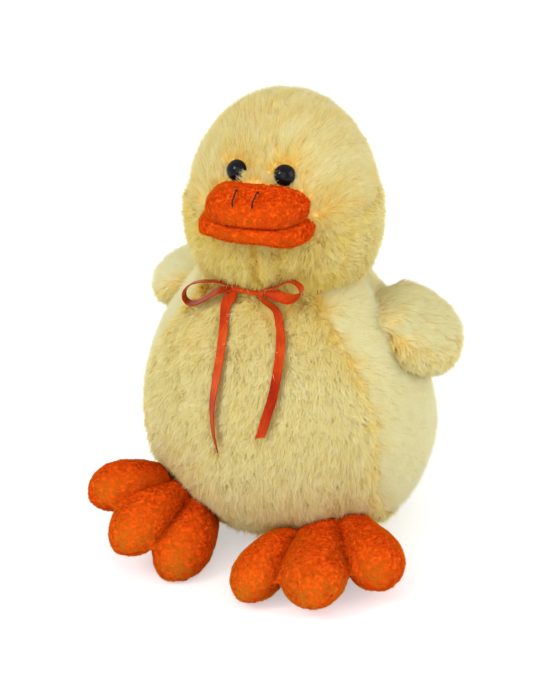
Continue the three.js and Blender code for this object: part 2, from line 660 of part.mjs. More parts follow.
function foot(name, side, { side: x, front, lift, turn, roll, toes }) {
  const hinge = vec(side * x, -front, FOOT_HINGE_Z + lift);
  const pose = new THREE.Matrix4().makeRotationZ(degrees(side * turn));
  pose.multiply(new THREE.Matrix4().makeRotationY(degrees(-side * roll))).setPosition(hinge);
  const axis = vec(-1, 0, 0).applyAxisAngle(vec(0, 0, 1), degrees(side * turn));
  const cut = (limb) => {
    const flat = placed(limb, pose).intersect(above(0));
    return sweepCut(flat, bodyCutter, hinge, axis, -FOOT_DOWN, FOOT_UP, 8);
  };
  const form = (inset, rings, sides) => footForm(side, toes, inset, rings, sides);
  const hollow = placed(form(BILL_CLOTH, PADDING_RINGS, PADDING_SIDES), pose);
  const cover = cut(form(0, LIMB_RINGS, LIMB_SIDES)).subtract(hollow.intersect(above(BILL_CLOTH)));
  const padding = cut(form(BILL_CLOTH + SEAM_GAP, PADDING_RINGS, PADDING_SIDES));
  const core = padding.intersect(above(BILL_CLOTH + SEAM_GAP));
  piece(`foot_${name}`, cover, orangePlush);
  piece(`foot_stuffing_${name}`, core, fibre);
}

foot('left', 1, FOOT_LEFT);
foot('right', -1, FOOT_RIGHT);

// Bow: the band lies on the shoulder under the head, and the knot sits on the band in front.
const BAND_SIDES = 40;
const bandLow = NECK_HEIGHT - BAND_DROP;
const bandHigh = bandLow + RIBBON_WIDTH;
const bandInner = bodyRing(bandLow, 0).x + SEAT_GAP;
const bandOuter = bandInner + RIBBON_THICKNESS;
const bandProfile = [
  [bandInner, bandLow], [bandOuter, bandLow], [bandOuter, bandHigh], [bandInner, bandHigh],
  [bandInner, bandLow],
];
piece('ribbon_neck_band', turnedPart(bandProfile, NECK_AXIS, vec(0, 0, 1), BAND_SIDES), satin);

const knotY = -NECK_FORWARD - bandOuter - SEAM_GAP - KNOT_DEPTH / 2;
const knotPlace = new THREE.Matrix4().makeRotationY(degrees(-KNOT_TILT));
knotPlace.setPosition(vec(KNOT_SIDE, knotY, HEAD_LOW));
const knot = cushion(KNOT_WIDTH / 2, KNOT_DEPTH / 2, KNOT_HEIGHT / 2, vec(0, 0, 0));
piece('ribbon_knot', placed(knot, knotPlace), satin);

// A strip of ribbon along a route, flat side to a given direction, with an eight-sided section.
function strip(route, flatTo, steps, twist) {
  const curve = new THREE.CatmullRomCurve3(route.map((p) => vec(...p)), false, 'centripetal');
  const outline = [[0.5, 0.25], [0.42, 0.5], [-0.42, 0.5], [-0.5, 0.25], [-0.5, -0.25],
    [-0.42, -0.5], [0.42, -0.5], [0.5, -0.25]];
  const rings = [];
  for (let i = 0; i <= steps; i += 1) {
    const t = i / steps;
    const point = curve.getPointAt(t);
    const along = curve.getTangentAt(t);
    const across = vec().crossVectors(along, flatTo(point, along)).normalize();
    across.applyAxisAngle(along, degrees(twist * t ** 3));
    const out = vec().crossVectors(across, along);
    rings.push(outline.map(([w, h]) => point.clone()
      .addScaledVector(across, w * RIBBON_WIDTH)
      .addScaledVector(out, h * RIBBON_THICKNESS)));
  }
  return loft(rings, curve.getPointAt(0), curve.getPointAt(1));
}

// A loop stands edge on to the chest, and a tail lies flat on it.
const edgeOn = (point, along) => vec().crossVectors(along, vec(0, 1, 0));
const flatOn = (point) => vec(point.x, point.y + NECK_FORWARD, 0);
piece('ribbon_loop_left', strip(LOOP_LEFT, edgeOn, LOOP_STEPS, 0), satin);
piece('ribbon_loop_right', strip(LOOP_RIGHT, edgeOn, LOOP_STEPS, 0), satin);
piece('ribbon_tail_left', strip(TAIL_LEFT, flatOn, TAIL_STEPS, TAIL_LEFT_TWIST), satin);
piece('ribbon_tail_right', strip(TAIL_RIGHT, flatOn, TAIL_STEPS, TAIL_RIGHT_TWIST), satin);

export default chick;
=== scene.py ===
"""A plush toy chick that sits on a pale floor: yellow pile, orange bill and feet, a satin bow."""

import math
from types import SimpleNamespace

import bpy
import numpy as np
from mathutils import Matrix, Vector
from mathutils.bvhtree import BVHTree


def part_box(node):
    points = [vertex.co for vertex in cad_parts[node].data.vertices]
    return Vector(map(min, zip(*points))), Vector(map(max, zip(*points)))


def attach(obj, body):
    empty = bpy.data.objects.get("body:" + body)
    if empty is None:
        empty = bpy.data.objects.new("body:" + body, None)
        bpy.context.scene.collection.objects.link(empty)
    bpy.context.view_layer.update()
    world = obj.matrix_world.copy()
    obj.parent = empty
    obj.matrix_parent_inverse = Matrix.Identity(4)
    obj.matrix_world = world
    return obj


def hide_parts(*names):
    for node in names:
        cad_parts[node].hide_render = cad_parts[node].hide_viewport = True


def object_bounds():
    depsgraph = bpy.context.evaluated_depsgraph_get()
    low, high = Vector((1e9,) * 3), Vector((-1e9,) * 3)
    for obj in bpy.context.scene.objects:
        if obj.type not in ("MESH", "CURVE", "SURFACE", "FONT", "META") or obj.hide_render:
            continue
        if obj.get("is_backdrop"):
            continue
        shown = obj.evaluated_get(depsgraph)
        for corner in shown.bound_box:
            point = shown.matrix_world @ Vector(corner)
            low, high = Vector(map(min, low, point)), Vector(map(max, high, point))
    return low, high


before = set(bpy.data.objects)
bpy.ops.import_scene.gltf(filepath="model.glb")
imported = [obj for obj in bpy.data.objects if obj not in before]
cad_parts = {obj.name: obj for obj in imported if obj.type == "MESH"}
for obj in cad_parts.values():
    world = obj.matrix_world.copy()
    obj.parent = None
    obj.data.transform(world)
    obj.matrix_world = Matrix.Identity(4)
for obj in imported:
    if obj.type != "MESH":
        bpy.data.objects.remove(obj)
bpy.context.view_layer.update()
mm = 0.001

# Camera
# It looks down on the toy from a little to the toy's left, as the photograph does, and is slid
# sideways and down so that the toy sits in the picture as it does there.
AIM = Vector((0, 0, 130 * mm))
AZIMUTH, ELEVATION = math.radians(26), math.radians(23)
DISTANCE = 1.6
SLID_LEFT, SLID_DOWN = 9.1, 24.5
SENSOR_HEIGHT, LENS = 24, 96.2
backward = Vector((
    math.sin(AZIMUTH) * math.cos(ELEVATION),
    -math.cos(AZIMUTH) * math.cos(ELEVATION),
    math.sin(ELEVATION),
))
rightward = Vector((math.cos(AZIMUTH), math.sin(AZIMUTH), 0))
upward = backward.cross(rightward)
stand = AIM + backward * DISTANCE - rightward * SLID_LEFT * mm - upward * SLID_DOWN * mm
turn = Matrix((rightward, upward, backward)).transposed()
bpy.ops.object.camera_add(location=stand, rotation=turn.to_euler())
camera = bpy.context.object
camera.data.sensor_fit = "VERTICAL"
camera.data.sensor_height = SENSOR_HEIGHT
camera.data.lens = LENS
bpy.context.scene.camera = camera

# Ribbon
# A quarter inch of red-orange satin goes round the neck and is tied in a small bow. The loops stand
# nearly edge on to the chest, and the two tails lie on the belly's fur.
RIBBON_WIDTH = 6.35 * mm
RIBBON_THICKNESS = 0.35 * mm
SELVEDGE = 0.16 * mm
PICOT_PITCH = 0.9 * mm
GATHER = 9 * mm
GATHER_ARCH = 0.5
CUT_SHARPNESS = 12
PICOTS_FROM = 0.45
WARP_THREADS, WEFT_THREADS = 900.0, 1500.0
SPAN_STEPS, TAIL_STEPS, BAND_STEPS = 24, 220, 320

# The points are millimetres along each stretch's middle line, from the knot outwards.
LOOP_RIGHT = [
    (-9.6, -56.2, 161.4), (-16.2, -55.9, 162.6), (-23.1, -55, 161.4), (-30.2, -53.4, 159.4),
    (-36.5, -51.8, 156.4), (-40.6, -50.6, 152.4), (-42.3, -50, 148.8), (-41.7, -50, 145.9),
    (-38.4, -50.6, 144.3), (-33.7, -51.6, 145.5), (-28.4, -53, 149), (-22.8, -54.2, 153.4),
    (-17.1, -55.3, 157.1), (-9.6, -56.2, 159.5),
]
LOOP_LEFT = [
    (11.6, -56.4, 163.6), (18.9, -57.2, 166.3), (23.5, -57.8, 169.4), (27.2, -57.9, 171.2),
    (30.6, -57.4, 170.4), (33.2, -56.8, 168), (33.5, -56.6, 165.1), (31.3, -57, 162.2),
    (27, -57.2, 160.2), (22, -57.2, 160.4), (17.5, -56.8, 161.2), (11.6, -56.4, 161.7),
]
TAIL_RIGHT = [
    (-8.2, -56.4, 156.6), (-10.8, -56.7, 153.6), (-12.6, -57.2, 149.6), (-12.2, -59.2, 144.6),
    (-10.7, -64.4, 135.9), (-9.9, -69.7, 124.5), (-10.4, -75.1, 109.1), (-10.9, -78, 96.2),
    (-9.3, -80.1, 83.4), (-7, -80.8, 73.4),
]
TAIL_LEFT = [
    (8.8, -56.2, 157.3), (11.8, -55.4, 154.9), (15.2, -54.8, 152.6), (18, -55, 149.6),
    (20.6, -57.4, 144.2), (22.9, -60.6, 138), (24.4, -65.9, 125.9), (24, -72.6, 108.1),
    (22.3, -75.6, 98.7), (19, -78.6, 84.2),
]


class Wire:
    """An output of a shader node that adds and multiplies like a number."""

    def __init__(self, shader, socket):
        self.shader, self.socket = shader, socket

    def maths(self, operation, first, second):
        return self.shader.node("ShaderNodeMath", {0: first, 1: second}, operation=operation)

    def __add__(self, other):
        return self.maths("ADD", self, other)

    def __mul__(self, other):
        return self.maths("MULTIPLY", self, other)

    def sine(self):
        return self.maths("SINE", self, 0)

    def clamped(self):
        return self.shader.node("ShaderNodeClamp", {"Value": self})

    __radd__, __rmul__ = __add__, __mul__


class Shader:
    """A material in the making. node() adds a node and gives its output, and finish() closes it."""

    def __init__(self, name):
        self.material = bpy.data.materials.new(name)
        self.material.use_nodes = True
        self.tree = self.material.node_tree
        self.tree.nodes.clear()

    def node(self, kind, inputs=(), output=0, stops=(), **settings):
        made = self.tree.nodes.new(kind)
        for key, value in settings.items():
            setattr(made, key, value)
        for place, (position, colour) in enumerate(stops):
            ramp = made.color_ramp.elements
            stop = ramp[place] if place < 2 else ramp.new(position)
            stop.position, stop.color = position, (*colour, 1)
        for key, value in dict(inputs).items():
            if isinstance(value, Wire):
                self.tree.links.new(value.socket, made.inputs[key])
            else:
                made.inputs[key].default_value = value
        return Wire(self, made.outputs[output])

    def map_place(self):
        """The two coordinates of the piece's own map."""
        spot = self.node("ShaderNodeUVMap", uv_map="OFBake")
        first = self.node("ShaderNodeSeparateXYZ", {"Vector": spot}, output="X")
        return first, Wire(self, first.socket.node.outputs["Y"])

    def noise(self, scale, detail=3.0, stretch=None):
        where = self.node("ShaderNodeTexCoord", output="Object")
        if stretch:
            where = self.node("ShaderNodeMapping", {"Vector": where, "Scale": stretch})
        return self.node("ShaderNodeTexNoise", {"Vector": where, "Scale": scale, "Detail": detail})

    def ramp(self, factor, stops):
        return self.node("ShaderNodeValToRGB", {"Fac": factor}, stops=stops)

    def mix(self, factor, first, second):
        inputs = {"Factor": factor, 6: first, 7: second}
        return self.node("ShaderNodeMix", inputs, output=2, data_type="RGBA")

    def bump(self, height, distance, strength=1.0):
        inputs = {"Height": height, "Distance": distance, "Strength": strength}
        return self.node("ShaderNodeBump", inputs)

    def finish(self, see_through=0.0, **sockets):
        inputs = {key.replace("_", " "): value for key, value in sockets.items()}
        skin = self.node("ShaderNodeBsdfPrincipled", inputs)
        if see_through:
            glow = self.node("ShaderNodeBsdfTranslucent", {"Color": sockets["Base_Color"]})
            skin = self.node("ShaderNodeMixShader", {"Fac": see_through, 1: skin, 2: glow})
        end = self.tree.nodes.new("ShaderNodeOutputMaterial")
        self.tree.links.new(skin.socket, end.inputs["Surface"])
        return self.material


def satin():
    """Threads both ways in the bump, and a colour painted lighter and darker in clouds and streaks along the
    ribbon: painted sheen.
    """
    shader = Shader("satin")
    across, along = shader.map_place()
    warp = (across * WARP_THREADS).sine() * 0.5 + 0.5
    weft = (along * WEFT_THREADS).sine() * 0.5 + 0.5
    cloudy = shader.noise(32.0, 2.0)
    streak = shader.noise(700.0, 2.0, stretch=(1.0, 1.0, 0.12))
    # The clouds and streaks paint the satin's sheen into its colour.
    painted_sheen = (cloudy * 0.8 + streak * 0.2).clamped()
    colour = shader.ramp(painted_sheen, [
        (0.35, (0.26, 0.008, 0.001)), (0.65, (0.58, 0.070, 0.006)), (0.5, (0.40, 0.026, 0.002)),
    ])
    height = warp * 0.6 + weft * 0.4
    return shader.finish(
        Base_Color=colour, Roughness=streak * 0.2 + 0.28, Specular_IOR_Level=0.4,
        Specular_Tint=(1, 0.16, 0.05, 1), Normal=shader.bump(height, 0.00002, 0.5),
    )


def route_points(points, steps):
    """A smooth line through given points, as evenly spaced points in metres."""
    knots = np.array(points, float) * mm
    ends = np.vstack([2 * knots[0] - knots[1], knots, 2 * knots[-1] - knots[-2]])
    line = []
    for a, b, c, d in zip(ends, ends[1:], ends[2:], ends[3:]):
        for t in np.linspace(0, 1, SPAN_STEPS, endpoint=False):
            line.append(0.5 * (2 * b + (c - a) * t + (2 * a - 5 * b + 4 * c - d) * t ** 2
                               + (3 * b - a - 3 * c + d) * t ** 3))
    line = np.vstack([line, knots[-1]])
    walked = np.r_[0, np.cumsum(np.linalg.norm(np.diff(line, axis=0), axis=1))]
    even = np.linspace(0, walked[-1], steps + 1)
    return np.stack([np.interp(even, walked, line[:, k]) for k in range(3)], 1)


def unit(vectors):
    """The same directions with a length of one."""
    return vectors / np.maximum(np.linalg.norm(vectors, axis=-1, keepdims=True), 1e-9)


def new_piece(name, vertices, faces, material, body, uv=None):
    """A finished piece from its corners and faces, riding on a body."""
    mesh = bpy.data.meshes.new(name)
    mesh.from_pydata([tuple(v) for v in vertices], [], [tuple(f) for f in faces])
    if uv is not None:
        mesh.uv_layers.new(name="OFBake").data.foreach_set("uv", np.asarray(uv, np.float32).ravel())
    mesh.validate()
    mesh.shade_smooth()
    piece = bpy.data.objects.new(name, mesh)
    bpy.context.collection.objects.link(piece)
    mesh.materials.append(material)
    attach(piece, body)
    return piece


# The ribbon's cross-section, in shares of its width and thickness: a woven edge is the thickest part.
RIBBON_SECTION = [
    (-0.5, 0.3), (-0.47, 1.0), (-0.42, 0.55), (-0.2, 0.5), (0.2, 0.5), (0.42, 0.55), (0.47, 1.0), (0.5, 0.3),
    (0.5, -0.3), (0.47, -1.0), (0.42, -0.55), (0.2, -0.5), (-0.2, -0.5), (-0.42, -0.55), (-0.47, -1.0),
    (-0.5, -0.3),
]


def ribbon(name, line, outward, material, closed=False, slant=0.0, cup=0.0, pinch=(1, 1), width=1.0):
    """A woven strip along a line: flat side to the outward vectors, with picots along both edges.

    slant cuts its end askew, cup arches it, and pinch says how narrow each end is gathered."""
    count = len(line)
    if closed:
        along = unit(np.roll(line, -1, 0) - np.roll(line, 1, 0))
    else:
        along = unit(np.gradient(line, axis=0))
    across = unit(np.cross(along, outward))
    out = np.cross(across, along)
    vertices = []
    walked = np.linalg.norm(np.diff(line, axis=0), axis=1).sum()
    for i in range(count):
        picot = 1 + SELVEDGE / RIBBON_WIDTH * math.cos(2 * math.pi * i * walked / count / PICOT_PITCH)
        shift = slant * (i / (count - 1)) ** CUT_SHARPNESS
        into = min(1, i * walked / count / GATHER), min(1, (count - 1 - i) * walked / count / GATHER)
        tight = width * math.prod(p + (1 - p) * math.sin(math.pi / 2 * t) for p, t in zip(pinch, into))
        for w, h in RIBBON_SECTION:
            wide = w * RIBBON_WIDTH * tight * (picot if abs(w) > PICOTS_FROM else 1)
            arch = (cup + GATHER_ARCH * (1 - tight)) * RIBBON_WIDTH * (0.25 - w * w)
            vertices.append(line[i] + across[i] * wide + along[i] * shift * w * RIBBON_WIDTH
                            + out[i] * (h * RIBBON_THICKNESS + arch))
    ring = len(RIBBON_SECTION)
    faces, uv = [], []
    for i in range(count if closed else count - 1):
        after = (i + 1) % count
        for j in range(ring):
            k = (j + 1) % ring
            faces.append((i * ring + j, i * ring + k, after * ring + k, after * ring + j))
            low, high = i / count, (i + 1) / count
            uv += [(j / ring, low), ((j + 1) / ring, low), ((j + 1) / ring, high), (j / ring, high)]
    if not closed:
        faces.append(tuple(reversed(range(ring))))
        faces.append(tuple((count - 1) * ring + j for j in range(ring)))
        uv += [(j / ring, 0) for j in reversed(range(ring))] + [(j / ring, 1) for j in range(ring)]
    piece = new_piece(name, vertices, faces, material, "body", uv)
    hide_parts(name.replace("satin", "ribbon"))
    return piece


satin_finish = satin()
NECK_FORWARD = 6 * mm


def twisted(line, vectors, degrees_at_start, degrees_at_end):
    """Turns the flat side about the line, evenly from its start to its end."""
    along = unit(np.gradient(line, axis=0))
    angle = np.radians(np.linspace(degrees_at_start, degrees_at_end, len(line)))[:, None]
    flat = unit(vectors - along * (vectors * along).sum(1, keepdims=True))
    return flat * np.cos(angle) + np.cross(along, flat) * np.sin(angle)


def lying(line):
    """The way out from the middle of the neck, for each point of a line."""
    return line * (1, 1, 0) + (0, NECK_FORWARD, 0)


GATHER_LEFT, GATHER_RIGHT = (9.6, -56, 160.6), (-8.0, -56, 160.2)
CROSSWISE = np.array((-0.15, 1, -0.15))
OPENS = (-1.2, 1.6)
LOOP_PINCH, TAIL_PINCH, TAIL_CUP = (0.45, 0.45), (0.3, 1), 0.10
bow = []

# A loop stands edge on where it leaves the knot, and it turns to its own open side as it comes back.
for name, points, gathered, opened, steps in (
        ("satin_loop_left", LOOP_LEFT, GATHER_LEFT, (0.1, 0.5, 0.8), 150),
        ("satin_loop_right", LOOP_RIGHT, GATHER_RIGHT, (-0.1, 0.9, 0.3), 220)):
    line = route_points([gathered, *points, gathered], steps)
    share = np.clip(np.linspace(*OPENS, len(line)), 0, 1)[:, None]
    crosswise = CROSSWISE * (1 - share) + np.array(opened) * share
    edge_on = np.cross(unit(np.gradient(line, axis=0)), crosswise)
    piece = ribbon(name, line, edge_on, satin_finish, pinch=LOOP_PINCH)
    bow.append(line)

# A tail lies flat on the belly, with a twist in degrees at its start and at its end.
for name, points, gathered, twist, slant in (
        ("satin_tail_left", TAIL_LEFT, GATHER_LEFT, (38, 34), 0.7),
        ("satin_tail_right", TAIL_RIGHT, GATHER_RIGHT, (-16, 47), -0.5)):
    line = route_points([gathered, *points], TAIL_STEPS)
    flat_side = twisted(line, lying(line), *twist)
    piece = ribbon(name, line, flat_side, satin_finish, slant=slant, cup=TAIL_CUP, pinch=TAIL_PINCH)
    bow.append(line)

# The band runs round the neck a little unevenly, folded narrow in the pile.
BAND_SUNK, BAND_RISE, BAND_FOLDED = 1.8 * mm, 0.4 * mm, 0.55
band_low, band_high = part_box("ribbon_neck_band")
band_radius = (band_high.x - band_low.x) / 2 - BAND_SUNK
turns = np.linspace(0, 2 * np.pi, BAND_STEPS, endpoint=False)
wobble = 1 + 0.006 * np.sin(5 * turns) + 0.004 * np.sin(9 * turns + 1)
band_line = np.stack([
    band_radius * wobble * np.cos(turns), band_radius * wobble * np.sin(turns) - NECK_FORWARD,
    np.full(BAND_STEPS, (band_low.z + band_high.z) / 2) + BAND_RISE * np.sin(3 * turns),
], 1)
ribbon("satin_neck_band", band_line, band_line + (0, NECK_FORWARD, 0) - (0, 0, band_line[0, 2]),
       satin_finish, closed=True, width=BAND_FOLDED)

# Knot
# The ribbon crosses itself in front of the neck and is pulled tight: a short flat wrap, creased
# lengthways and drawn in where the loops and tails leave it.
KNOT_FLATTENED = (1.0, 0.7, 0.5)
KNOT_BEVEL = 1.6 * mm
FOLD_RISE, FOLD_PITCH = 0.28 * mm, 0.42 * mm
KNOT_WAIST, KNOT_FLARE = 0.7, 0.5
KNOT_SAG, KNOT_DROP = 0.9 * mm, 0.6 * mm
knot_low, knot_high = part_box("ribbon_knot")
knot_middle = (knot_low + knot_high) / 2
knot_size = knot_high - knot_low
bpy.ops.object.select_all(action="DESELECT")
bpy.ops.mesh.primitive_cube_add(size=1, location=knot_middle)
knot = bpy.context.object
knot.name = knot.data.name = "satin_knot"
knot.scale = [full * share for full, share in zip(knot_size, KNOT_FLATTENED)]
bpy.ops.object.transform_apply(location=True, rotation=True, scale=True)
bpy.ops.object.mode_set(mode="EDIT")
bpy.ops.mesh.select_all(action="SELECT")
bpy.ops.mesh.bevel(offset=KNOT_BEVEL, segments=4, affect="EDGES")
bpy.ops.mesh.subdivide(number_cuts=5)
bpy.ops.object.mode_set(mode="OBJECT")
for vertex in knot.data.vertices:
    share = (vertex.co.x - knot_middle.x) / (knot_size.x / 2)
    crease = FOLD_RISE * math.sin((vertex.co.z - knot_middle.z) / FOLD_PITCH + 2.5 * share)
    vertex.co.z = knot_middle.z + (vertex.co.z - knot_middle.z) * (KNOT_WAIST + KNOT_FLARE * share ** 4)
    vertex.co.z -= KNOT_SAG * (1 - share ** 2) + KNOT_DROP
    vertex.co.y += crease * (1 - share ** 4)
knot.data.shade_smooth()
bpy.ops.object.mode_set(mode="EDIT")
bpy.ops.mesh.select_all(action="SELECT")
bpy.ops.uv.cube_project(cube_size=0.02)
bpy.ops.object.mode_set(mode="OBJECT")
knot.data.uv_layers[0].name = "OFBake"
knot.data.materials.append(satin_finish)
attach(knot, "body")
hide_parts("ribbon_knot")

# Body
# The cover is four panels of long pile, sewn inside out, turned and stuffed firmly with fibre. Its
# cloth is a deeper yellow than the pile's tips, and shows only where the pile parts.
# The strands are painted deeper towards the root: painted shade deep in the pile.
FUR_ROOT = (0.88, 0.57, 0.07)
FUR_MIDDLE = (0.89, 0.71, 0.17)
FUR_TIP = (0.91, 0.82, 0.28)
FUR_PALE_ROOT = (0.92, 0.80, 0.31)
FUR_PALE_MIDDLE = (0.94, 0.91, 0.59)
FUR_PALE_TIP = (0.96, 0.955, 0.75)
STRAND_STOPS = (0.12, 0.98, 0.55)
SEE_THROUGH = 0.5
TUFTS_PER_MM2 = 0.8


def pile_finish(name, deep, pale):
    """Pile colour runs from root to tip up the map, deeper at the root as painted shade deep in the pile,
    and from deep to pale strands across it.

    Each colour is a root, a middle and a tip. A ramp takes its two ends first."""
    shader = Shader(name)
    tone, along = shader.map_place()
    dark = shader.ramp(along, list(zip(STRAND_STOPS, (deep[0], deep[2], deep[1]))))
    light = shader.ramp(along, list(zip(STRAND_STOPS, (pale[0], pale[2], pale[1]))))
    colour = shader.mix(tone, dark, light)
    return shader.finish(SEE_THROUGH, Base_Color=colour, Roughness=0.9, Specular_IOR_Level=0.12)


def backing_finish(name, deep, pale):
    """Knitted backing: fine courses and a cloudy colour."""
    shader = Shader(name)
    clouds = shader.noise(60.0, 4.0)
    knit = shader.noise(1400.0, 2.0, stretch=(1.0, 1.0, 0.5))
    colour = shader.ramp((clouds * 0.7 + knit * 0.3).clamped(), [(0.3, deep), (0.7, pale)])
    return shader.finish(Base_Color=colour, Roughness=0.95, Specular_IOR_Level=0.1,
                         Normal=shader.bump(knit, 0.0004, 0.6))


def fibre():
    """White stuffing, a little clumped."""
    shader = Shader("fibre")
    clumps = shader.noise(220.0, 5.0)
    colour = shader.ramp(clumps, [(0.3, (0.80, 0.79, 0.74)), (0.7, (0.93, 0.93, 0.90))])
    return shader.finish(Base_Color=colour, Roughness=0.95, Normal=shader.bump(clumps, 0.002))


fibre_finish = fibre()
yellow_pile = pile_finish(
    "yellow_pile", (FUR_ROOT, FUR_MIDDLE, FUR_TIP), (FUR_PALE_ROOT, FUR_PALE_MIDDLE, FUR_PALE_TIP))
yellow_backing = backing_finish("yellow_backing", (0.94, 0.64, 0.15), (0.96, 0.74, 0.25))


def stuffed_form(name, nodes, body, material, voxel, inset, rounds, levels=0, more=()):
    """One smooth stuffed form over some CAD nodes: joined, remeshed, smoothed and pulled in.

    more holds objects of the scene's own that are joined with the copies of the nodes."""
    bpy.ops.object.select_all(action="DESELECT")
    copies = list(more)
    for swelling in more:
        swelling.select_set(True)
    for node in nodes:
        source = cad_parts[node]
        copy = bpy.data.objects.new(node + "_copy", source.data.copy())
        bpy.context.collection.objects.link(copy)
        copy.select_set(True)
        copies.append(copy)
    bpy.context.view_layer.objects.active = copies[0]
    if len(copies) > 1:
        bpy.ops.object.join()
    form = bpy.context.object
    form.name = form.data.name = name
    bpy.ops.object.mode_set(mode="EDIT")
    bpy.ops.mesh.select_all(action="SELECT")
    bpy.ops.mesh.remove_doubles(threshold=0.00001)
    bpy.ops.object.mode_set(mode="OBJECT")
    form.data.remesh_voxel_size = voxel
    form.data.use_remesh_preserve_volume = True
    bpy.ops.object.voxel_remesh()
    smooth = form.modifiers.new("smooth", "SMOOTH")
    smooth.factor, smooth.iterations = 0.5, rounds
    pull = form.modifiers.new("pull", "DISPLACE")
    pull.strength, pull.mid_level = -inset, 0
    if levels:
        fine = form.modifiers.new("fine", "SUBSURF")
        fine.levels = fine.render_levels = levels
    for modifier in list(form.modifiers):
        bpy.ops.object.modifier_apply(modifier=modifier.name)
    while form.data.uv_layers:
        form.data.uv_layers.remove(form.data.uv_layers[0])
    form.data.materials.clear()
    form.data.materials.append(material)
    form.data.shade_smooth()
    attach(form, body)
    return form


def places_of(form, kind="co"):
    """The place, or the normal, of each vertex of a form."""
    values = np.empty(len(form.data.vertices) * 3, np.float32)
    form.data.vertices.foreach_get(kind, values)
    return values.reshape(-1, 3).astype(float)


def put(form, spots):
    """Moves a form's vertices to the given places."""
    form.data.vertices.foreach_set("co", spots.astype(np.float32).ravel())
    form.data.update()


def pushed(form, spot, radius, shift):
    """Moves the skin round a spot, most at the spot and hardly at all past twice the radius."""
    spots = places_of(form)
    far = np.linalg.norm(spots - np.array(spot) * mm, axis=1) / (radius * mm)
    put(form, spots + np.exp(-far ** 2)[:, None] * np.array(shift) * mm)


def rising(values, none, full):
    """0 up to one value and 1 from another on, in a straight line between them."""
    return np.clip((values - none) / (full - none), 0, 1)


WAVES = 7


def drift(points, wavelength, seed):
    """A smooth random vector at each point: a few slow waves in fixed random directions."""
    rng = np.random.default_rng(seed)
    field = np.zeros_like(points)
    for _ in range(WAVES):
        wave = unit(rng.normal(size=3)) * 2 * np.pi / (wavelength * rng.uniform(0.7, 1.4))
        field += np.sin(points @ wave + rng.uniform(0, 2 * np.pi))[:, None] * rng.normal(size=3)
    return field / math.sqrt(WAVES)


def node_tree_of(name):
    """A search tree of one CAD node's surface."""
    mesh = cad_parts[name].data
    mesh.calc_loop_triangles()
    vertices = [v.co.copy() for v in mesh.vertices]
    return BVHTree.FromPolygons(vertices, [t.vertices[:] for t in mesh.loop_triangles])


def beside(points, nodes):
    """For each point: which node is nearest, how much farther the next is, and the way from it."""
    found = np.empty((len(nodes), len(points), 4))
    for k, node in enumerate(nodes):
        tree = node_tree_of(node)
        for i, point in enumerate(points):
            spot, _, _, distance = tree.find_nearest(point)
            found[k, i] = (*spot, distance)
    order = np.argsort(found[:, :, 3], axis=0)
    rows = np.arange(len(points))
    own, other = order[0], order[1]
    gap = found[other, rows, 3] - found[own, rows, 3]
    return own, gap, unit(points - found[other, rows, :3])


def closeness(points, nodes, reach, near=None):
    """1 where a point touches one of the nodes, falling to 0 at the reach."""
    trees = [node_tree_of(node) for node in nodes]
    close = np.zeros(len(points))
    for i in np.arange(len(points)) if near is None else np.nonzero(near)[0]:
        distances = [tree.find_nearest(points[i], reach)[3] for tree in trees]
        close[i] = 1 - min([d for d in distances if d is not None], default=reach) / reach
    return close


PLAIN_LIFT, PLAIN_LENGTH, PLAIN_TONE, TONE_SPREAD = 35.0, 9 * mm, 0.75, 0.07


def tufts_on(form, per_mm2, seed):
    """Tuft places spread evenly at random over a form, with the form's normals.

    comb is the way a tuft lies, lift its angle from the cloth in degrees, tone 0 deep and 1 pale."""
    rng = np.random.default_rng(seed)
    mesh = form.data
    mesh.calc_loop_triangles()
    corners = np.empty(len(mesh.loop_triangles) * 3, np.int32)
    mesh.loop_triangles.foreach_get("vertices", corners)
    corners = corners.reshape(-1, 3)
    spots, normals = places_of(form), places_of(form, "normal")
    a, b, c = (spots[corners[:, k]] for k in range(3))
    area = np.linalg.norm(np.cross(b - a, c - a), axis=1) / 2
    count = int(area.sum() * 1e6 * per_mm2)
    pick = rng.choice(len(area), count, p=area / area.sum())
    s = np.sqrt(rng.random((count, 1)))
    t = rng.random((count, 1))
    shares = np.hstack([1 - s, s * (1 - t), s * t])
    root = sum(shares[:, k:k + 1] * spots[corners[pick, k]] for k in range(3))
    normal = unit(sum(shares[:, k:k + 1] * normals[corners[pick, k]] for k in range(3)))
    return SimpleNamespace(
        root=root, normal=normal, comb=np.zeros_like(root), lift=np.full(count, PLAIN_LIFT),
        length=np.full(count, PLAIN_LENGTH), tone=rng.normal(PLAIN_TONE, TONE_SPREAD, count),
        keep=np.ones(count, bool), random=rng.random(count), ruffle=unit(rng.normal(size=(count, 3))),
    )


# A strand tapers from root to tip, and its colour is one of 32 narrow columns of the map.
BLADE_PLACES, BLADE_WIDTHS = (0, 0.35, 0.8, 1), (0.85, 1, 0.7, 0)
TONES, COLUMN_FROM, COLUMN_WIDE, MAP_TOP = 32, 0.1, 0.8, 0.995
STRAND_LENGTHS, STRAND_TONES = (0.72, 1.12), 0.08
FLATTEST, STEEPEST = 4, 92
LEAST_HEIGHT = 0.1 * mm


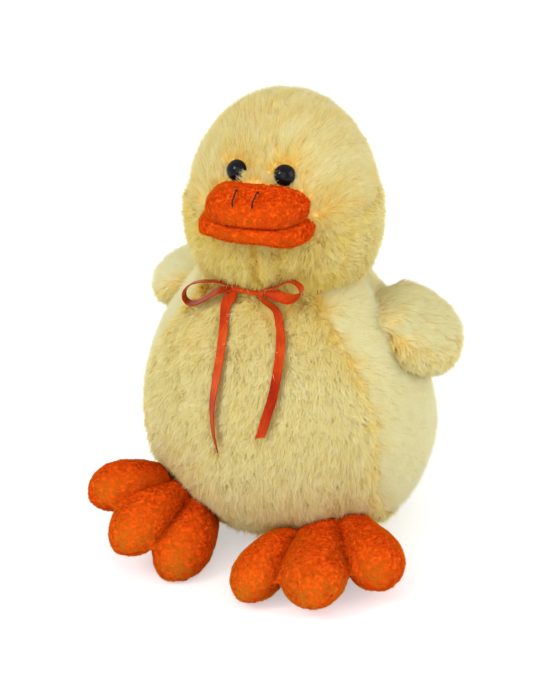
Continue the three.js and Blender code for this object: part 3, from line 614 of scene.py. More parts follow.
def pile(name, tufts, material, body, slot, seed, strands=8, spread=1.3 * mm, width=0.34 * mm,
         bend=35.0, gather=0.25, curl=0.0, stray=10.0, roll=30.0, smooth=0.88, stations=(0, 1)):
    """Grows each tuft's strands: thin tapered blades that lean along the comb and meet at the tip.

    bend, stray and roll are degrees. stations are the places along a strand where it may bend."""
    rng = np.random.default_rng(seed)
    chosen = np.repeat(np.nonzero(tufts.keep)[0], strands)
    count = len(chosen)
    normal = tufts.normal[chosen]
    comb = tufts.comb[chosen]
    comb = unit(comb - normal * (comb * normal).sum(1, keepdims=True))
    side = np.cross(normal, comb)
    angle = rng.uniform(0, 2 * np.pi, count)
    reach = spread * np.sqrt(rng.random(count))
    offset = (comb * np.cos(angle)[:, None] + side * np.sin(angle)[:, None]) * reach[:, None]
    yaw = np.radians(rng.normal(0, stray, count))[:, None]
    lean = comb * np.cos(yaw) + side * np.sin(yaw)
    sway = np.cross(normal, lean)
    lift = tufts.lift[chosen] + rng.normal(0, stray * 0.6, count)
    length = tufts.length[chosen] * rng.uniform(*STRAND_LENGTHS, count)
    twirl = rng.uniform(0, 2 * np.pi, count)
    spots = [tufts.root[chosen] + offset]
    heads = []
    for low, high in zip(stations, stations[1:]):
        middle = (low + high) / 2
        slope = np.radians(np.clip(lift + bend * (0.5 - middle), FLATTEST, STEEPEST))[:, None]
        heading = lean * np.cos(slope) + normal * np.sin(slope)
        curve = curl * np.cos(twirl + 2 * np.pi * middle)[:, None]
        heading = unit(heading + sway * curve)
        step = heading * (length * (high - low))[:, None] - offset * gather * (high - low)
        heads.append(heading)
        spots.append(spots[-1] + step)
    heads.append(heads[-1])
    spots = [np.maximum(spot, (-1, -1, LEAST_HEIGHT)) for spot in spots]
    rolled = np.radians(rng.normal(0, roll, count))[:, None]
    wide = np.interp(stations, BLADE_PLACES, BLADE_WIDTHS) * width / 2
    rings, shading = [], []
    for place, (spot, heading, half) in enumerate(zip(spots, heads, wide)):
        flat = unit(np.cross(heading, normal))
        flat = flat * np.cos(rolled) + np.cross(heading, flat) * np.sin(rolled)
        facing = np.cross(flat, heading)
        shade = unit(smooth * normal + (1 - smooth) * facing)
        if place < len(stations) - 1:
            rings += [spot - flat * half, spot + flat * half]
            shading += [shade, shade]
        else:
            rings.append(spot)
            shading.append(shade)
    per = len(rings)
    vertices = np.stack(rings, 1).reshape(-1, 3)
    shading = np.stack(shading, 1).reshape(-1, 3)
    tone = np.clip(tufts.tone[chosen] + rng.normal(0, STRAND_TONES, count), 0, 0.999)
    left = (np.floor(tone * TONES) + COLUMN_FROM) / TONES
    right = left + COLUMN_WIDE / TONES
    corners, sizes, uv = [], [], []
    for k in range(len(stations) - 2):
        corners += [2 * k, 2 * k + 1, 2 * k + 3, 2 * k + 2]
        sizes.append(4)
        low, high = np.full(count, stations[k]), np.full(count, stations[k + 1])
        uv += [left, low, right, low, right, high, left, high]
    last = 2 * (len(stations) - 2)
    corners += [last, last + 1, last + 2]
    sizes.append(3)
    low = np.full(count, stations[-2])
    uv += [left, low, right, low, (left + right) / 2, np.full(count, MAP_TOP)]
    corners = (np.arange(count)[:, None] * per + np.array(corners)).ravel()
    starts = np.cumsum([0] + sizes[:-1])
    starts = (np.arange(count)[:, None] * sum(sizes) + starts).ravel()
    mesh = bpy.data.meshes.new(name)
    mesh.vertices.add(len(vertices))
    mesh.vertices.foreach_set("co", vertices.astype(np.float32).ravel())
    mesh.loops.add(len(corners))
    mesh.loops.foreach_set("vertex_index", corners.astype(np.int32))
    mesh.polygons.add(len(starts))
    mesh.polygons.foreach_set("loop_start", starts.astype(np.int32))
    layer = mesh.uv_layers.new(name="OFBake")
    layer.data.foreach_set("uv", np.stack(uv, 1).astype(np.float32).ravel())
    mesh.update(calc_edges=True)
    shown = mesh.attributes.new("custom_normal", "FLOAT_VECTOR", "POINT")
    shown.data.foreach_set("vector", shading.astype(np.float32).ravel())
    mesh.materials.append(material)
    piece = bpy.data.objects.new(name, mesh)
    bpy.context.collection.objects.link(piece)
    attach(piece, body)
    return piece


def part_of(tufts, chosen):
    """Some of the tufts, as tufts of their own."""
    return SimpleNamespace(**{key: value[chosen] for key, value in vars(tufts).items()})


AT_ONCE = 2000
BOW_BEHIND = 2 * mm
NOWHERE_NEAR = 1.0


def under_bow(tufts):
    """How far each tuft stands from the nearest ribbon, measured along the cloth."""
    lines = np.vstack(bow)[::4]
    nearest = np.full(len(tufts.root), NOWHERE_NEAR)
    for start in range(0, len(tufts.root), AT_ONCE):
        some = slice(start, start + AT_ONCE)
        gap = lines[None] - tufts.root[some, None]
        height = (gap * tufts.normal[some, None]).sum(2, keepdims=True)
        flat = np.linalg.norm(gap - height * tufts.normal[some, None], axis=2)
        flat[height[:, :, 0] < -BOW_BEHIND] = NOWHERE_NEAR
        nearest[some] = flat.min(1)
    return nearest


BODY_PANELS = ["belly_panel", "side_panel_left", "side_panel_right", "base_panel"]
body_cover = stuffed_form("body_cover", BODY_PANELS + ["body_stuffing"], "body",
                          yellow_backing, voxel=3 * mm, inset=1.2 * mm, rounds=12)
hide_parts(*BODY_PANELS)
body_fibre = stuffed_form("body_fibre", ["body_stuffing"], "body", fibre_finish,
                          voxel=4 * mm, inset=2 * mm, rounds=6)
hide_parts("body_stuffing")

CURLY = dict(strands=8, spread=1.6 * mm, gather=0.6, curl=0.35, stray=13, smooth=0.66, bend=60.0,
             width=0.34 * mm, stations=(0, 0.5, 1))


MESS_LIFT, MESS_LENGTH, MESS_TONE = 26, 0.4, 0.28


def ruffled(tufts, chosen, lift, length, mess):
    """Makes some tufts stand up in short curls that fall every way."""
    tufts.comb[chosen] += mess * tufts.ruffle[chosen]
    tufts.lift[chosen] = lift + MESS_LIFT * (tufts.random[chosen] - 0.5)
    tufts.length[chosen] = length * (1 + MESS_LENGTH * (tufts.random[chosen] * 7 % 1 - 0.5))
    tufts.tone[chosen] += MESS_TONE * (tufts.random[chosen] * 13 % 1 - 0.5)


# Where the skin is drawn in or let out: a spot, how far round it, and the move, all in millimetres.
SHOULDER_IN, FLANK_IN = ((45, 14, 152), 19, (-3.4, -1, -6.5)), ((77, 31, 88), 15, (-4.5, -1.6, 0))
ARMPIT_OUT = ((53, -6, 131), 12, (2.5, -2, 0))
LAP_IN, LEFT_GROIN_IN = ((-2, -50, 5), 17, (0, 3, 3)), ((52, -45, 27), 15, (-1.2, 1.6, 1.0))
for form in (body_cover, body_fibre):
    pushed(form, *SHOULDER_IN)
    pushed(form, *FLANK_IN)
for move in (ARMPIT_OUT, LAP_IN, LEFT_GROIN_IN):
    pushed(body_cover, *move)

DOWN = np.array((0, 0, -1.0))
BELLY_LIFT, BELLY_LENGTH, BELLY_MESS, BELLY_TONE = 41, 8.3 * mm, 0.5, 0.13
FLANK_LIFT, FLANK_LENGTH, FLANK_TONE = 27, 9.6 * mm, 0.25
BASE_LIFT, BASE_LENGTH, BASE_KEPT = 16, 5.5 * mm, 0.6
BY_FOOT_LIFT, BY_FOOT_LENGTH = 14, 4 * mm
PRESSED_LIFT, PRESSED_LENGTH = 0.85, 0.35
SHOULDER, SHOULDER_RADIUS = np.array((46, 18, 150)) * mm, 17 * mm

tufts = tufts_on(body_cover, TUFTS_PER_MM2, 11)
panel, seam, away = beside(tufts.root, BODY_PANELS)
slow, quick_drift = drift(tufts.root, 45 * mm, 1), drift(tufts.root, 11 * mm, 2)
height = tufts.root[:, 2] / mm
tufts.keep = tufts.root[:, 2] < band_low.z + 1 * mm
near_ribbon = under_bow(tufts)
pressed = rising(near_ribbon, 6 * mm, 3 * mm)
parting = rising(seam, 3.5 * mm, 0) * np.clip(0.6 + 0.6 * quick_drift[:, 0], 0.15, 1)
# Slow and quick tone that differs at random, and painted shade where the pile parts at a seam.
tufts.tone += 0.08 * slow[:, 0] + 0.05 * quick_drift[:, 1] - 0.35 * parting

# The belly hangs down in ruffles, and it is painted deeper yellow towards the neck: painted shade under the
# head.
belly = panel == 0
tufts.comb[belly] = DOWN + 0.3 * slow[belly] + 0.4 * quick_drift[belly]
ruffled(tufts, belly, BELLY_LIFT, BELLY_LENGTH, BELLY_MESS)
tufts.lift[belly] += 10 * quick_drift[belly, 2]
tufts.tone[belly] -= BELLY_TONE + 0.2 * rising(height[belly], 100, 150)

# The sides are smooth. Their nap runs back round the body and down, and away from the seams, and it
# lies flatter on the left shoulder.
turned = np.sign(tufts.root[:, :1]) * np.cross((0, 0, 1.0), tufts.normal)
flank = (panel == 1) | (panel == 2)
tufts.comb[flank] = (0.8 * turned + 0.55 * DOWN + 0.16 * slow + 0.10 * quick_drift)[flank]
tufts.comb[flank] += 0.9 * (away * parting[:, None])[flank]
tufts.lift[flank] = FLANK_LIFT + 3 * quick_drift[flank, 2]
tufts.length[flank] = FLANK_LENGTH
tufts.tone[flank] += FLANK_TONE
shoulder = np.exp(-(np.linalg.norm(tufts.root - SHOULDER, axis=1) / SHOULDER_RADIUS) ** 2)
tufts.lift -= 18 * shoulder
tufts.length *= 1 - 0.35 * shoulder

# Round a wing's root the body's pile runs out over the wing. It is painted deeper yellow in the fold,
# and so it is at the neck: painted shade under the wing and under the head.
by_wing = closeness(tufts.root, ["wing_left", "wing_right"], 12 * mm, abs(height - 125) < 45)
over_wing = np.stack([np.sign(tufts.root[:, 0]), 0 * by_wing - 0.1, 0 * by_wing - 0.25], 1)
tufts.comb += 3 * by_wing[:, None] * over_wing
tufts.tone -= 0.3 * by_wing * (height < 135)
tufts.tone -= 0.25 * rising(height, 144, 154)

# The base is flat and thin, and the pile is short where the feet are sewn in. There and low at the
# front it is painted deeper yellow: painted shade between the feet and the body.
bottom = panel == 3
tufts.comb[bottom] = tufts.root[bottom] * (1, 1, 0) + 0.001
tufts.lift[bottom] = BASE_LIFT
tufts.length[bottom] = BASE_LENGTH
tufts.keep &= ~bottom | (tufts.random < BASE_KEPT)
by_foot = closeness(tufts.root, ["foot_left", "foot_right"], 11 * mm, height < 60)
by_foot = np.clip(1.4 * by_foot, 0, 1)
tufts.lift -= (tufts.lift - BY_FOOT_LIFT) * by_foot
tufts.length -= (tufts.length - BY_FOOT_LENGTH) * by_foot
tufts.tone -= 0.3 * by_foot
tufts.tone -= 0.6 * rising(height, 22, 10) * (tufts.root[:, 1] < 0)

# A ribbon presses the pile down under it. The neck band sinks into the pile, which closes over it
# from below at the front.
tufts.lift *= 1 - PRESSED_LIFT * pressed
tufts.length *= 1 - PRESSED_LENGTH * pressed
collar = rising(height, band_low.z / mm - 10, band_low.z / mm) * (near_ribbon > 3 * mm)
collar *= rising(tufts.root[:, 1], -15 * mm, -30 * mm)
tufts.comb -= 2 * collar[:, None] * DOWN
tufts.lift += 28 * collar
tufts.length += 1.5 * mm * collar
for k, (name, chosen, slot, style) in enumerate((
        ("belly_pile_upper", belly & (height > 100), "curly_pile", CURLY),
        ("belly_pile_middle", belly & (height > 55) & (height <= 100), "curly_pile", CURLY),
        ("belly_pile_lower", belly & (height <= 55), "curly_pile", CURLY),
        ("side_pile_left", panel == 1, "yellow_pile", {}),
        ("side_pile_right", panel == 2, "yellow_pile", {}),
        ("base_pile", bottom, "yellow_pile", {}))):
    pile(name, part_of(tufts, chosen), yellow_pile, "body", slot, 21 + k, **style)

# Head
# Four panels: two smooth crown panels that meet over the top, and two ruffled cheek panels below.
# The pile on the crown is combed up from the bill, over the top and down the back.
HEAD_PANELS = ["crown_panel_left", "crown_panel_right", "cheek_panel_left", "cheek_panel_right"]
head_cover = stuffed_form("head_cover", HEAD_PANELS + ["head_stuffing"], "head",
                          yellow_backing, voxel=2.5 * mm, inset=1.2 * mm, rounds=8)
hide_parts(*HEAD_PANELS)
HEAD_NARROWED = (0.975, 1, 1)
put(head_cover, places_of(head_cover) * HEAD_NARROWED)

CROWN_LIFT, CROWN_LENGTH, CROWN_TONE = 28, 9.2 * mm, 0.2
CHEEK_LIFT, CHEEK_LENGTH, CHEEK_MESS, CHEEK_TONE = 52, 7.8 * mm, 0.9, 0.32
CHIN_LIFT = 14
HEM_LIFT, HEM_LONGER = 62, 2 * mm

tufts = tufts_on(head_cover, TUFTS_PER_MM2, 12)
panel, seam, away = beside(tufts.root, HEAD_PANELS)
slow, quick_drift = drift(tufts.root, 40 * mm, 3), drift(tufts.root, 11 * mm, 4)
height = tufts.root[:, 2] / mm
tufts.keep = tufts.root[:, 2] > 162 * mm
parting = rising(seam, 2.5 * mm, 0)
# Tone that differs at random, and painted shade where the pile parts at a seam.
tufts.tone += 0.11 * slow[:, 0] + 0.13 * quick_drift[:, 1] - 0.1 * parting
over = np.cross(tufts.normal, (1.0, 0, 0))
crown = panel < 2
tufts.comb[crown] = (over + np.array((0, 0.45, -0.15)) + 0.18 * slow + 0.12 * quick_drift)[crown]
lowest_crown = closeness(tufts.root, ["cheek_panel_left", "cheek_panel_right"], 10 * mm, crown) * crown
tufts.comb += 2.6 * lowest_crown[:, None] * DOWN
tufts.lift[crown] = CROWN_LIFT + 3 * quick_drift[crown, 2]
tufts.length[crown] = CROWN_LENGTH
tufts.tone[crown] -= CROWN_TONE
cheek = ~crown
tufts.comb[cheek] = (np.array((0, 0.3, -0.7)) + 0.6 * slow + 0.6 * quick_drift)[cheek]
ruffled(tufts, cheek, CHEEK_LIFT, CHEEK_LENGTH, CHEEK_MESS)
tufts.tone[cheek] -= CHEEK_TONE

# Under the bill the pile is drawn in at the seam and painted deeper yellow: painted shade under the bill.
chin = cheek & (tufts.root[:, 1] < -30 * mm) & (height < 197)
tufts.tone[chin] -= 0.3 + 0.4 * rising(seam[chin], 2 * mm, 0)
tufts.lift[chin & (seam < 1.5 * mm)] = CHIN_LIFT
# The lowest pile hangs over the neck band and is painted deeper there: painted shade under the head.
lowest = rising(height, 174, 166)
tufts.comb += 2 * lowest[:, None] * DOWN
tufts.lift += (HEM_LIFT - tufts.lift) * lowest
tufts.length += HEM_LONGER * lowest
tufts.tone -= 0.25 * lowest

# The pile keeps clear of the eyes and the bill: it leans away above an eye, and over its lower rim.
EYE_REGION, EYE_COMBED, EYE_BENEATH, EYE_RIM = 22 * mm, 15 * mm, 11 * mm, 9 * mm
EYE_BARE, EYE_BARE_INNER = 6.2, 4.6
BENEATH_LIFT, BENEATH_LENGTH = 50, 6.5 * mm
RIM_LIFT, RIM_LENGTH = 58, 7.5 * mm
INWARD = {"left": (-1, 0, -0.5), "right": (1, 0, -1.1)}
eye_spots = {}
over_eye = np.zeros(len(tufts.root), bool)
for side in ("left", "right"):
    low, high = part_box(f"eye_washer_{side}")
    back_end = np.array((low + high) / 2)
    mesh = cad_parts[f"eye_{side}"].data
    spots = np.array([v.co for v in mesh.vertices])
    axis = unit(spots.mean(0) - back_end)
    apex = back_end + axis * ((spots - back_end) @ axis).max()
    eye_spots[side] = SimpleNamespace(axis=axis, apex=apex)
    gap = tufts.root - apex
    flat = gap - axis * (gap @ axis)[:, None]
    distance = np.linalg.norm(flat, axis=1)
    front = np.linalg.norm(gap, axis=1) < EYE_REGION
    inner_low = flat @ unit(np.array(INWARD[side])) > 0.65 * distance
    tufts.keep &= ~(front & (distance < np.where(inner_low, EYE_BARE_INNER, EYE_BARE) * mm))
    share = rising(distance, EYE_COMBED, 8 * mm)
    upper = front & (distance < EYE_COMBED) & (flat[:, 2] > 0)
    tufts.comb[upper] += (2.2 * share[:, None] * unit(flat))[upper]
    # Above an eye the pile is painted deeper: painted shade round the top of the eye.
    tufts.tone[upper] -= 0.3 * share[upper]
    tufts.length[upper] *= (1 - 0.35 * share)[upper]
    beneath = front & (distance < EYE_BENEATH) & (flat[:, 2] <= 0)
    tufts.comb[beneath] = 0.5 * tufts.ruffle[beneath] - DOWN
    tufts.lift[beneath] = BENEATH_LIFT
    tufts.length[beneath] = BENEATH_LENGTH
    rim = front & inner_low & (distance < EYE_RIM)
    over_eye |= rim
    tufts.comb[rim] = -unit(flat[rim]) + 0.4 * tufts.ruffle[rim]
    tufts.lift[rim] = RIM_LIFT
    tufts.length[rim] = RIM_LENGTH

BILL_CLEAR, BILL_CLEAR_BY_EYE, BILL_SHORTENS = 1.2 * mm, 0.1 * mm, 6 * mm
bill_trees = [node_tree_of("upper_bill"), node_tree_of("lower_bill")]
for i, root in enumerate(tufts.root):
    if root[1] > -40 * mm or not tufts.keep[i]:
        continue
    distance = min(tree.find_nearest(root)[3] for tree in bill_trees)
    inside = any(tree.ray_cast(root, tufts.normal[i])[0] is not None for tree in bill_trees)
    if inside or distance < (BILL_CLEAR_BY_EYE if over_eye[i] else BILL_CLEAR):
        tufts.keep[i] = False
    elif distance < BILL_SHORTENS:
        tufts.length[i] *= 0.75

for k, (name, slot, style) in enumerate((
        ("crown_pile_left", "yellow_pile", {}), ("crown_pile_right", "yellow_pile", {}),
        ("cheek_pile_left", "curly_pile", CURLY), ("cheek_pile_right", "curly_pile", CURLY))):
    pile(name, part_of(tufts, panel == k), yellow_pile, "head", slot, 31 + k, **style)

# Wings
# Each wing is two pieces of pile sewn round the edge, turned, stuffed and sewn in at the shoulder.
# It is smooth above, with its nap towards the tip, and ruffled below.

# The body's stuffing swells a wing's root, so the wing runs on from the shoulder: a middle and three
# radii. The seam between top and underside sinks towards the tip: places out from the middle of the
# toy, and their heights. All are millimetres.
WING_ROOTS = {"left": ((57.5, 6, 134.5), (16, 22, 8.5)), "right": ((-50, 14, 138), (12, 20, 8))}
WING_SEAM = (50, 58, 65, 71, 81, 90, 96), (139, 137, 134, 132, 127, 121, 116)
WING_SEAM_HIGHER = {"left": 0, "right": 3}
WING_TURNED = 20
WING_LIFT, WING_LENGTH, WING_TONE = 28, 8.6 * mm, 0.3
UNDER_LIFT, UNDER_LENGTH, UNDER_MESS, UNDER_TONE = 42, 7.8 * mm, 0.4, 0.08
for side, sign in (("left", 1), ("right", -1)):
    middle, radii = WING_ROOTS[side]
    bpy.ops.object.select_all(action="DESELECT")
    bpy.ops.mesh.primitive_uv_sphere_add(
        segments=32, ring_count=16, radius=1, location=np.array(middle) * mm,
        rotation=(0, 0, sign * math.radians(WING_TURNED)), scale=np.array(radii) * mm)
    root = bpy.context.object
    bpy.ops.object.transform_apply(location=True, rotation=True, scale=True)
    nodes = [f"wing_{side}", f"wing_stuffing_{side}"]
    wing = stuffed_form(f"wing_cover_{side}", nodes, f"wing_{side}", yellow_backing,
                        voxel=2 * mm, inset=-0.9 * mm, rounds=16, more=[root])
    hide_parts(f"wing_{side}")
    tufts = tufts_on(wing, TUFTS_PER_MM2, 13)
    slow, quick_drift = drift(tufts.root, 35 * mm, 5), drift(tufts.root, 11 * mm, 6)
    outward = np.array((sign, 0.1, -0.5))
    tufts.comb = outward + 0.2 * slow + 0.12 * quick_drift
    tufts.lift[:] = WING_LIFT + 3 * quick_drift[:, 2]
    tufts.length[:] = WING_LENGTH
    seam = np.interp(abs(tufts.root[:, 0]) / mm, *WING_SEAM) + WING_SEAM_HIGHER[side]
    above = tufts.root[:, 2] / mm - seam + 2 * quick_drift[:, 0]
    facing_down = tufts.normal[:, 2] < -0.3
    under = ((above < 0) & (tufts.normal[:, 2] < 0.5) & (tufts.root[:, 1] < 20 * mm)) | facing_down
    rim = rising(abs(above), 3, 0)
    # Tone that differs at random, and half the tufts along the seam between top and underside are painted
    # darker: painted shade in that crease.
    tufts.tone += 0.06 * slow[:, 0] + 0.06 * quick_drift[:, 1] - 0.5 * rim * (tufts.random < 0.5)
    tufts.tone[~under] += WING_TONE
    # Near the body the pile is painted deeper, most of all underneath: painted shade in the fold by the
    # body.
    by_body = closeness(tufts.root, [f"side_panel_{side}", "belly_panel"], 9 * mm)
    tufts.tone -= by_body * np.where(under, 0.4, 0.1)
    tufts.comb[under] = (0.5 * outward + 0.8 * DOWN + 0.4 * quick_drift)[under]
    ruffled(tufts, under, UNDER_LIFT, UNDER_LENGTH, UNDER_MESS)
    tufts.tone[under] -= UNDER_TONE
    tufts.keep = (tufts.normal @ -outward) < 0.8
    for name, chosen, style in (("top", ~under, {}), ("under", under, CURLY)):
        pile(f"wing_pile_{name}_{side}", part_of(tufts, chosen), yellow_pile, f"wing_{side}",
             "yellow_pile", 41, **style)

# Bill and feet
# Short dense orange plush: the bill is an upper and a lower lip, each stuffed, and each foot is a
# flat pouch with three toes. The nap is painted paler towards its tips, as painted sheen where it lies
# towards the eye, and deeper towards its roots, as painted shade deep in the nap.
ORANGE_ROOT = (0.80, 0.070, 0.002)
ORANGE_MIDDLE = (0.81, 0.145, 0.004)
ORANGE_TIP = (0.81, 0.275, 0.011)
ORANGE_PALE_TIP = (0.82, 0.500, 0.035)
orange_nap = pile_finish(
    "orange_nap", (ORANGE_ROOT, ORANGE_MIDDLE, ORANGE_TIP), (ORANGE_MIDDLE, ORANGE_TIP, ORANGE_PALE_TIP))
orange_backing = backing_finish("orange_backing", (0.74, 0.085, 0.002), (0.84, 0.125, 0.003))


NAP_TUFTS_PER_MM2 = 1.6
NAP_LIFT, NAP_LENGTH = 31, 1.5 * mm
NAP = dict(strands=6, spread=0.7 * mm, width=0.32 * mm, bend=20, gather=0.1, stray=12, roll=15, smooth=0.98)


def napped(name, tufts, body, seed, comb):
    """Covers a form with short nap that lies mostly one way."""
    slow, quick_drift = drift(tufts.root, 30 * mm, seed), drift(tufts.root, 5 * mm, seed + 1)
    tufts.comb += np.array(comb) + 0.35 * slow + 0.35 * quick_drift
    tufts.lift[:] = NAP_LIFT + 4 * quick_drift[:, 2]
    tufts.length[:] = NAP_LENGTH
    tufts.tone += 0.08 * slow[:, 0] + 0.08 * quick_drift[:, 1] - 0.2
    return pile(name, tufts, orange_nap, body, "orange_plush", seed, **NAP)


def thread():
    """Black sewing thread, with the ply as a fine bump."""
    shader = Shader("thread")
    ply = shader.noise(1500.0, 2.0, stretch=(1.0, 0.3, 1.0))
    colour = shader.ramp(ply, [(0.3, (0.010, 0.006, 0.005)), (0.7, (0.035, 0.022, 0.018))])
    return shader.finish(Base_Color=colour, Roughness=0.8, Specular_IOR_Level=0.1,
                         Normal=shader.bump(ply, 0.0002))


thread_finish = thread()
LIP_REACH = 28 * mm
LIP_ARCH, UPPER_END_DROP, LOWER_END_DROP, UPPER_NARROWED = 2.4, 1.6, 4.0, 2.2


def bill_shape(form, lip, box):
    """The line between the lips is nearly straight. The lower lip stays deep to its ends and turns up
    outside the upper lip, which is a little narrower on the toy's right."""
    spots = places_of(form)
    low, high = np.array(box[0]), np.array(box[1])
    along = (spots[:, 0] - (low[0] + high[0]) / 2) / LIP_REACH
    deep = rising(spots[:, 2], high[2], low[2])
    outer = rising(abs(along), 0.5, 1.125)
    if lip == "upper_bill":
        spots[:, 2] += (LIP_ARCH * (1 - along ** 2) - UPPER_END_DROP * outer) * deep * mm
        spots[:, 0] += UPPER_NARROWED * mm * np.clip(-along, 0, 1) ** 2
    else:
        rolled = outer ** 2 * (3 - 2 * outer)
        spots[:, 2] += (LIP_ARCH * (1 - outer) - LOWER_END_DROP * rolled * deep) * mm
    put(form, spots)


lips = {}
for lip in ("upper_bill", "lower_bill"):
    form = stuffed_form(f"{lip}_cover", [lip, f"{lip}_stuffing"], "head",
                        orange_backing, voxel=1.6 * mm, inset=0.1 * mm, rounds=5, levels=1)
    filling = stuffed_form(f"{lip}_fibre", [f"{lip}_stuffing"], "head",
                           fibre_finish, voxel=1.5 * mm, inset=0.8 * mm, rounds=6)
    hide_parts(lip)
    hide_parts(f"{lip}_stuffing")
    for padded in (form, filling):
        bill_shape(padded, lip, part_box(lip))
    lips[lip] = form

# Two straight stitches of black thread mark the nostrils, drawn in where the thread goes down.
STITCH_ENDS = {"left": ((14.0, -69.6, 223.9), (16.8, -83.2, 219.4)),
               "right": ((2.4, -71.4, 223.4), (6.4, -85.2, 219.2))}
THREAD, THREAD_SIDES, STITCH_STEPS = 0.42 * mm, 8, 24
STITCH_STANDS, STITCH_SINKS = 2.0, 2.6
stitch_lines = []
upper_tree = BVHTree.FromObject(lips["upper_bill"], bpy.context.evaluated_depsgraph_get())
for side, (start, end) in STITCH_ENDS.items():
    line = route_points([start, end], STITCH_STEPS)
    for i, share in enumerate(np.linspace(-1, 1, STITCH_STEPS + 1)):
        spot, normal, _, _ = upper_tree.find_nearest(line[i])
        line[i] = spot + normal * (STITCH_STANDS - STITCH_SINKS * share ** 8) * mm
    stitch_lines.append(line)
    along = unit(np.gradient(line, axis=0))
    sideways = unit(np.cross(along, (0, -0.5, 1)))
    upwards = np.cross(sideways, along)
    angles = np.linspace(0, 2 * np.pi, THREAD_SIDES, endpoint=False)[:, None]
    vertices = np.concatenate([
        spot + THREAD * (np.cos(angles) * across + np.sin(angles) * up)
        for spot, across, up in zip(line, sideways, upwards)])
    ring = range(THREAD_SIDES)
    faces = []
    for first in range(0, STITCH_STEPS * THREAD_SIDES, THREAD_SIDES):
        for k in ring:
            low, high = first + k, first + (k + 1) % THREAD_SIDES
            faces.append((low, high, high + THREAD_SIDES, low + THREAD_SIDES))
    faces += [tuple(reversed(ring)), tuple(STITCH_STEPS * THREAD_SIDES + k for k in ring)]
    stitch = new_piece(f"stitch_{side}", vertices, faces, thread_finish, "head")
    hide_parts(f"nostril_stitch_{side}")

# The nap is shorter beside a stitch. It is deeper orange overall, and painted deeper still towards the toy's
# left: painted shade on that side.
STITCH_REACH = 2.4 * mm
stitches = np.vstack(stitch_lines)
for lip, form in lips.items():
    tufts = tufts_on(form, NAP_TUFTS_PER_MM2, 51)
    tufts.keep = tufts.root[:, 1] < -48 * mm
    for i in np.nonzero(tufts.root[:, 2] > 215 * mm)[0]:
        if np.linalg.norm(stitches - tufts.root[i], axis=1).min() < STITCH_REACH:
            tufts.length[i] *= 0.6
    tufts.tone -= 0.3 + 0.35 * np.clip(tufts.root[:, 0] / (30 * mm), -1, 1)
    napped(f"{lip}_nap", tufts, "head", 51, (0.2, -1.0, -0.5))

# Each channel between two toes is a row of stitches, from near the body out to the notch.
CHANNELS = {
    "left": [((33.7, -60.9, 23.6), (43.8, -109.3, 12.1)), ((55, -50, 26.6), (78.9, -88.7, 16.3))],
    "right": [((-44, -60, 40.4), (-63.2, -101.8, 32)), ((-33.7, -62.4, 29.5), (-32.3, -109.8, 20.5))],
}
# The top of a foot swells where it leaves the body: a spot, how far round it, and the move.
FOOT_RISE = {"left": ((50, -46, 24), 19, (0, 1, 6)), "right": ((-35, -58, 32), 17, (0, 1, 3))}
CREASE_DEPTH, CREASE_WIDTH, CREASE_SHADE_WIDTH = 4.5 * mm, 2.6 * mm, 1.5 * mm
TOE_PAINTED_LIGHT = 1.1


def from_crease(spots, thin, channel):
    """How far each place is from a channel, sideways, and how much of the channel's depth it has."""
    start, end = np.array(channel) * mm
    way = end - start
    across = unit(np.cross(way, thin))
    share = (spots - start) @ way / (way @ way)
    return abs((spots - start) @ across), rising(share, -0.15, 0.1) * (share < 1.5)


def creased(form, side):
    """Draws both faces of a foot in along its two channels."""
    spots = places_of(form)
    middle = spots.mean(0)
    thin = np.linalg.eigh(np.cov((spots - middle).T))[1][:, 0]
    for channel in CHANNELS[side]:
        gap, depth = from_crease(spots, thin, channel)
        drawn = CREASE_DEPTH * np.exp(-gap / CREASE_WIDTH) * depth
        height = (spots - middle) @ thin
        spots -= (np.sign(height) * np.minimum(drawn, 0.8 * abs(height)))[:, None] * thin
    put(form, spots)
    return thin


for side in ("left", "right"):
    form = stuffed_form(f"foot_cover_{side}", [f"foot_{side}", f"foot_stuffing_{side}"],
                        f"foot_{side}", orange_backing, voxel=1.8 * mm,
                        inset=0.2 * mm, rounds=3, levels=1)
    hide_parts(f"foot_{side}")
    pushed(form, *FOOT_RISE[side])
    thin = creased(form, side)
    filling = stuffed_form(f"foot_fibre_{side}", [f"foot_stuffing_{side}"], f"foot_{side}",
                           fibre_finish, voxel=2 * mm, inset=1.2 * mm, rounds=3)
    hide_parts(f"foot_stuffing_{side}")
    creased(filling, side)
    tufts = tufts_on(form, NAP_TUFTS_PER_MM2, 61)
    for channel in CHANNELS[side]:
        gap, depth = from_crease(tufts.root, thin, channel)
        tufts.tone -= 0.4 * depth * np.exp(-gap / CREASE_SHADE_WIDTH)
    tufts.keep = tufts.normal[:, 2] > -0.85
    # The toes are painted paler towards their ends and deeper near the body: painted light out in front and
    # painted shade under the body.
    reach = rising(tufts.root[:, 1], tufts.root[:, 1].max(), tufts.root[:, 1].min())
    tufts.tone += TOE_PAINTED_LIGHT * (reach - 0.5)
    napped(f"foot_nap_{side}", tufts, f"foot_{side}", 61, (0.1, -1.0, -0.4))

# Eyes
# Black plastic safety eyes, each a polished dome on a shank that is pushed through the cloth and
# locked by a white washer inside.
EYE_RADIUS = 6 * mm
DOME_HEIGHT, DOME_DEPTH = 0.78, 0.3


def polished_black():
    """Glossy plastic, its gloss very slightly uneven."""
    shader = Shader("polished_black")
    wisps = shader.noise(500.0, 2.0)
    return shader.finish(
        Base_Color=shader.ramp(wisps, [(0.3, (0.002, 0.002, 0.003)), (0.7, (0.004, 0.004, 0.006))]),
        Roughness=wisps * 0.03 + 0.04, Specular_IOR_Level=0.15)


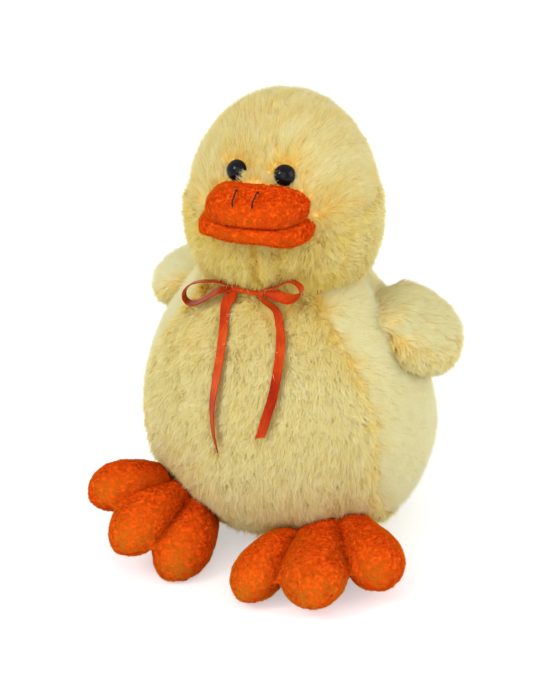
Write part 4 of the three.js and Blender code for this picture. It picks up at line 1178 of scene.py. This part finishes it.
black = polished_black()
for side, spot in eye_spots.items():
    bpy.ops.object.select_all(action="DESELECT")
    bpy.ops.mesh.primitive_uv_sphere_add(segments=48, ring_count=24, radius=EYE_RADIUS)
    dome = bpy.context.object
    dome.name = dome.data.name = f"eye_dome_{side}"
    for vertex in dome.data.vertices:
        vertex.co.z *= DOME_HEIGHT if vertex.co.z > 0 else DOME_DEPTH
    stand_up = Vector((0, 0, 1)).rotation_difference(Vector(spot.axis)).to_matrix().to_4x4()
    seat = Vector(spot.apex - spot.axis * EYE_RADIUS * DOME_HEIGHT)
    dome.data.transform(Matrix.Translation(seat) @ stand_up)
    dome.data.shade_smooth()
    dome.data.materials.append(black)
    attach(dome, "head")
    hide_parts(f"eye_{side}")

# Inside
# White polyester fibre fills every pouch, and the washers that lock the eyes are white plastic. The
# fillings of the head and wings, and the washers, are the plain solids in these materials.


def washer_plastic():
    """White plastic with a fine grain."""
    shader = Shader("washer_plastic")
    grain = shader.noise(900.0, 2.0)
    colour = shader.ramp(grain, [(0.3, (0.82, 0.82, 0.80)), (0.7, (0.88, 0.88, 0.86))])
    return shader.finish(Base_Color=colour, Roughness=grain * 0.1 + 0.4)


washer_finish = washer_plastic()
for name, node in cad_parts.items():
    if "stuffing" in name or "washer" in name:
        finish = fibre_finish if "stuffing" in name else washer_finish
        node.data.materials.clear()
        node.data.materials.append(finish)

# Floor and light
# A pale floor that keeps a soft shadow, under plain studio light: a small key lamp from the front on
# the toy's right, a broad one in front, one at the toy's left side, and an even white sky.
FLOOR_GLOW = 0.42
SKY_UNSEEN, SKY_SEEN = 0.85, 1.0


def seen_rays(tree):
    """1 for camera, glossy and transmission rays, and 0 for those that only carry light."""
    path = tree.nodes.new("ShaderNodeLightPath")
    total = path.outputs["Is Camera Ray"]
    for ray in ("Is Glossy Ray", "Is Transmission Ray"):
        plus = tree.nodes.new("ShaderNodeMath")
        tree.links.new(total, plus.inputs[0])
        tree.links.new(path.outputs[ray], plus.inputs[1])
        total = plus.outputs[0]
    return total


floor_shader = Shader("floor")
seen = Wire(floor_shader, seen_rays(floor_shader.tree))
shade = floor_shader.ramp(floor_shader.noise(3.0), [(0.3, (0.69, 0.69, 0.69)), (0.7, (0.71, 0.71, 0.71))])
floor_finish = floor_shader.finish(Base_Color=shade, Roughness=0.9, Emission_Color=(1, 1, 1, 1),
                                   Emission_Strength=seen * FLOOR_GLOW)
bpy.ops.object.select_all(action="DESELECT")
bpy.ops.mesh.primitive_plane_add(size=8, location=(0, 0, -0.05 * mm))
floor = bpy.context.object
floor.name = "floor"
floor.data.materials.append(floor_finish)
floor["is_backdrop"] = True

scene = bpy.context.scene
scene.view_settings.view_transform = "Standard"
world = bpy.data.worlds.new("sky")
scene.world = world
world.use_nodes = True
sky = world.node_tree.nodes["Background"]
level = world.node_tree.nodes.new("ShaderNodeMapRange")
level.inputs["To Min"].default_value = SKY_UNSEEN
level.inputs["To Max"].default_value = SKY_SEEN
sky.inputs["Color"].default_value = (1, 1, 1, 1)
world.node_tree.links.new(seen_rays(world.node_tree), level.inputs["Value"])
world.node_tree.links.new(level.outputs["Result"], sky.inputs["Strength"])

LIT_SPOT = Vector((0, 0, 0.12))


def lamp(name, place, size, watts):
    """A square lamp, its side in metres, turned to the middle of the toy."""
    bpy.ops.object.light_add(type="AREA", location=place)
    light = bpy.context.object
    light.name = name
    light.data.size = size
    light.data.energy = watts
    aim = LIT_SPOT - Vector(place)
    light.rotation_euler = aim.to_track_quat("-Z", "Y").to_euler()


lamp("key", (-0.9, -1.6, 1.4), 0.7, 17)
lamp("front", (0.4, -2.0, 1.1), 1.8, 15)
lamp("side", (2.0, 0.1, 0.9), 1.6, 19)

low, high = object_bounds()
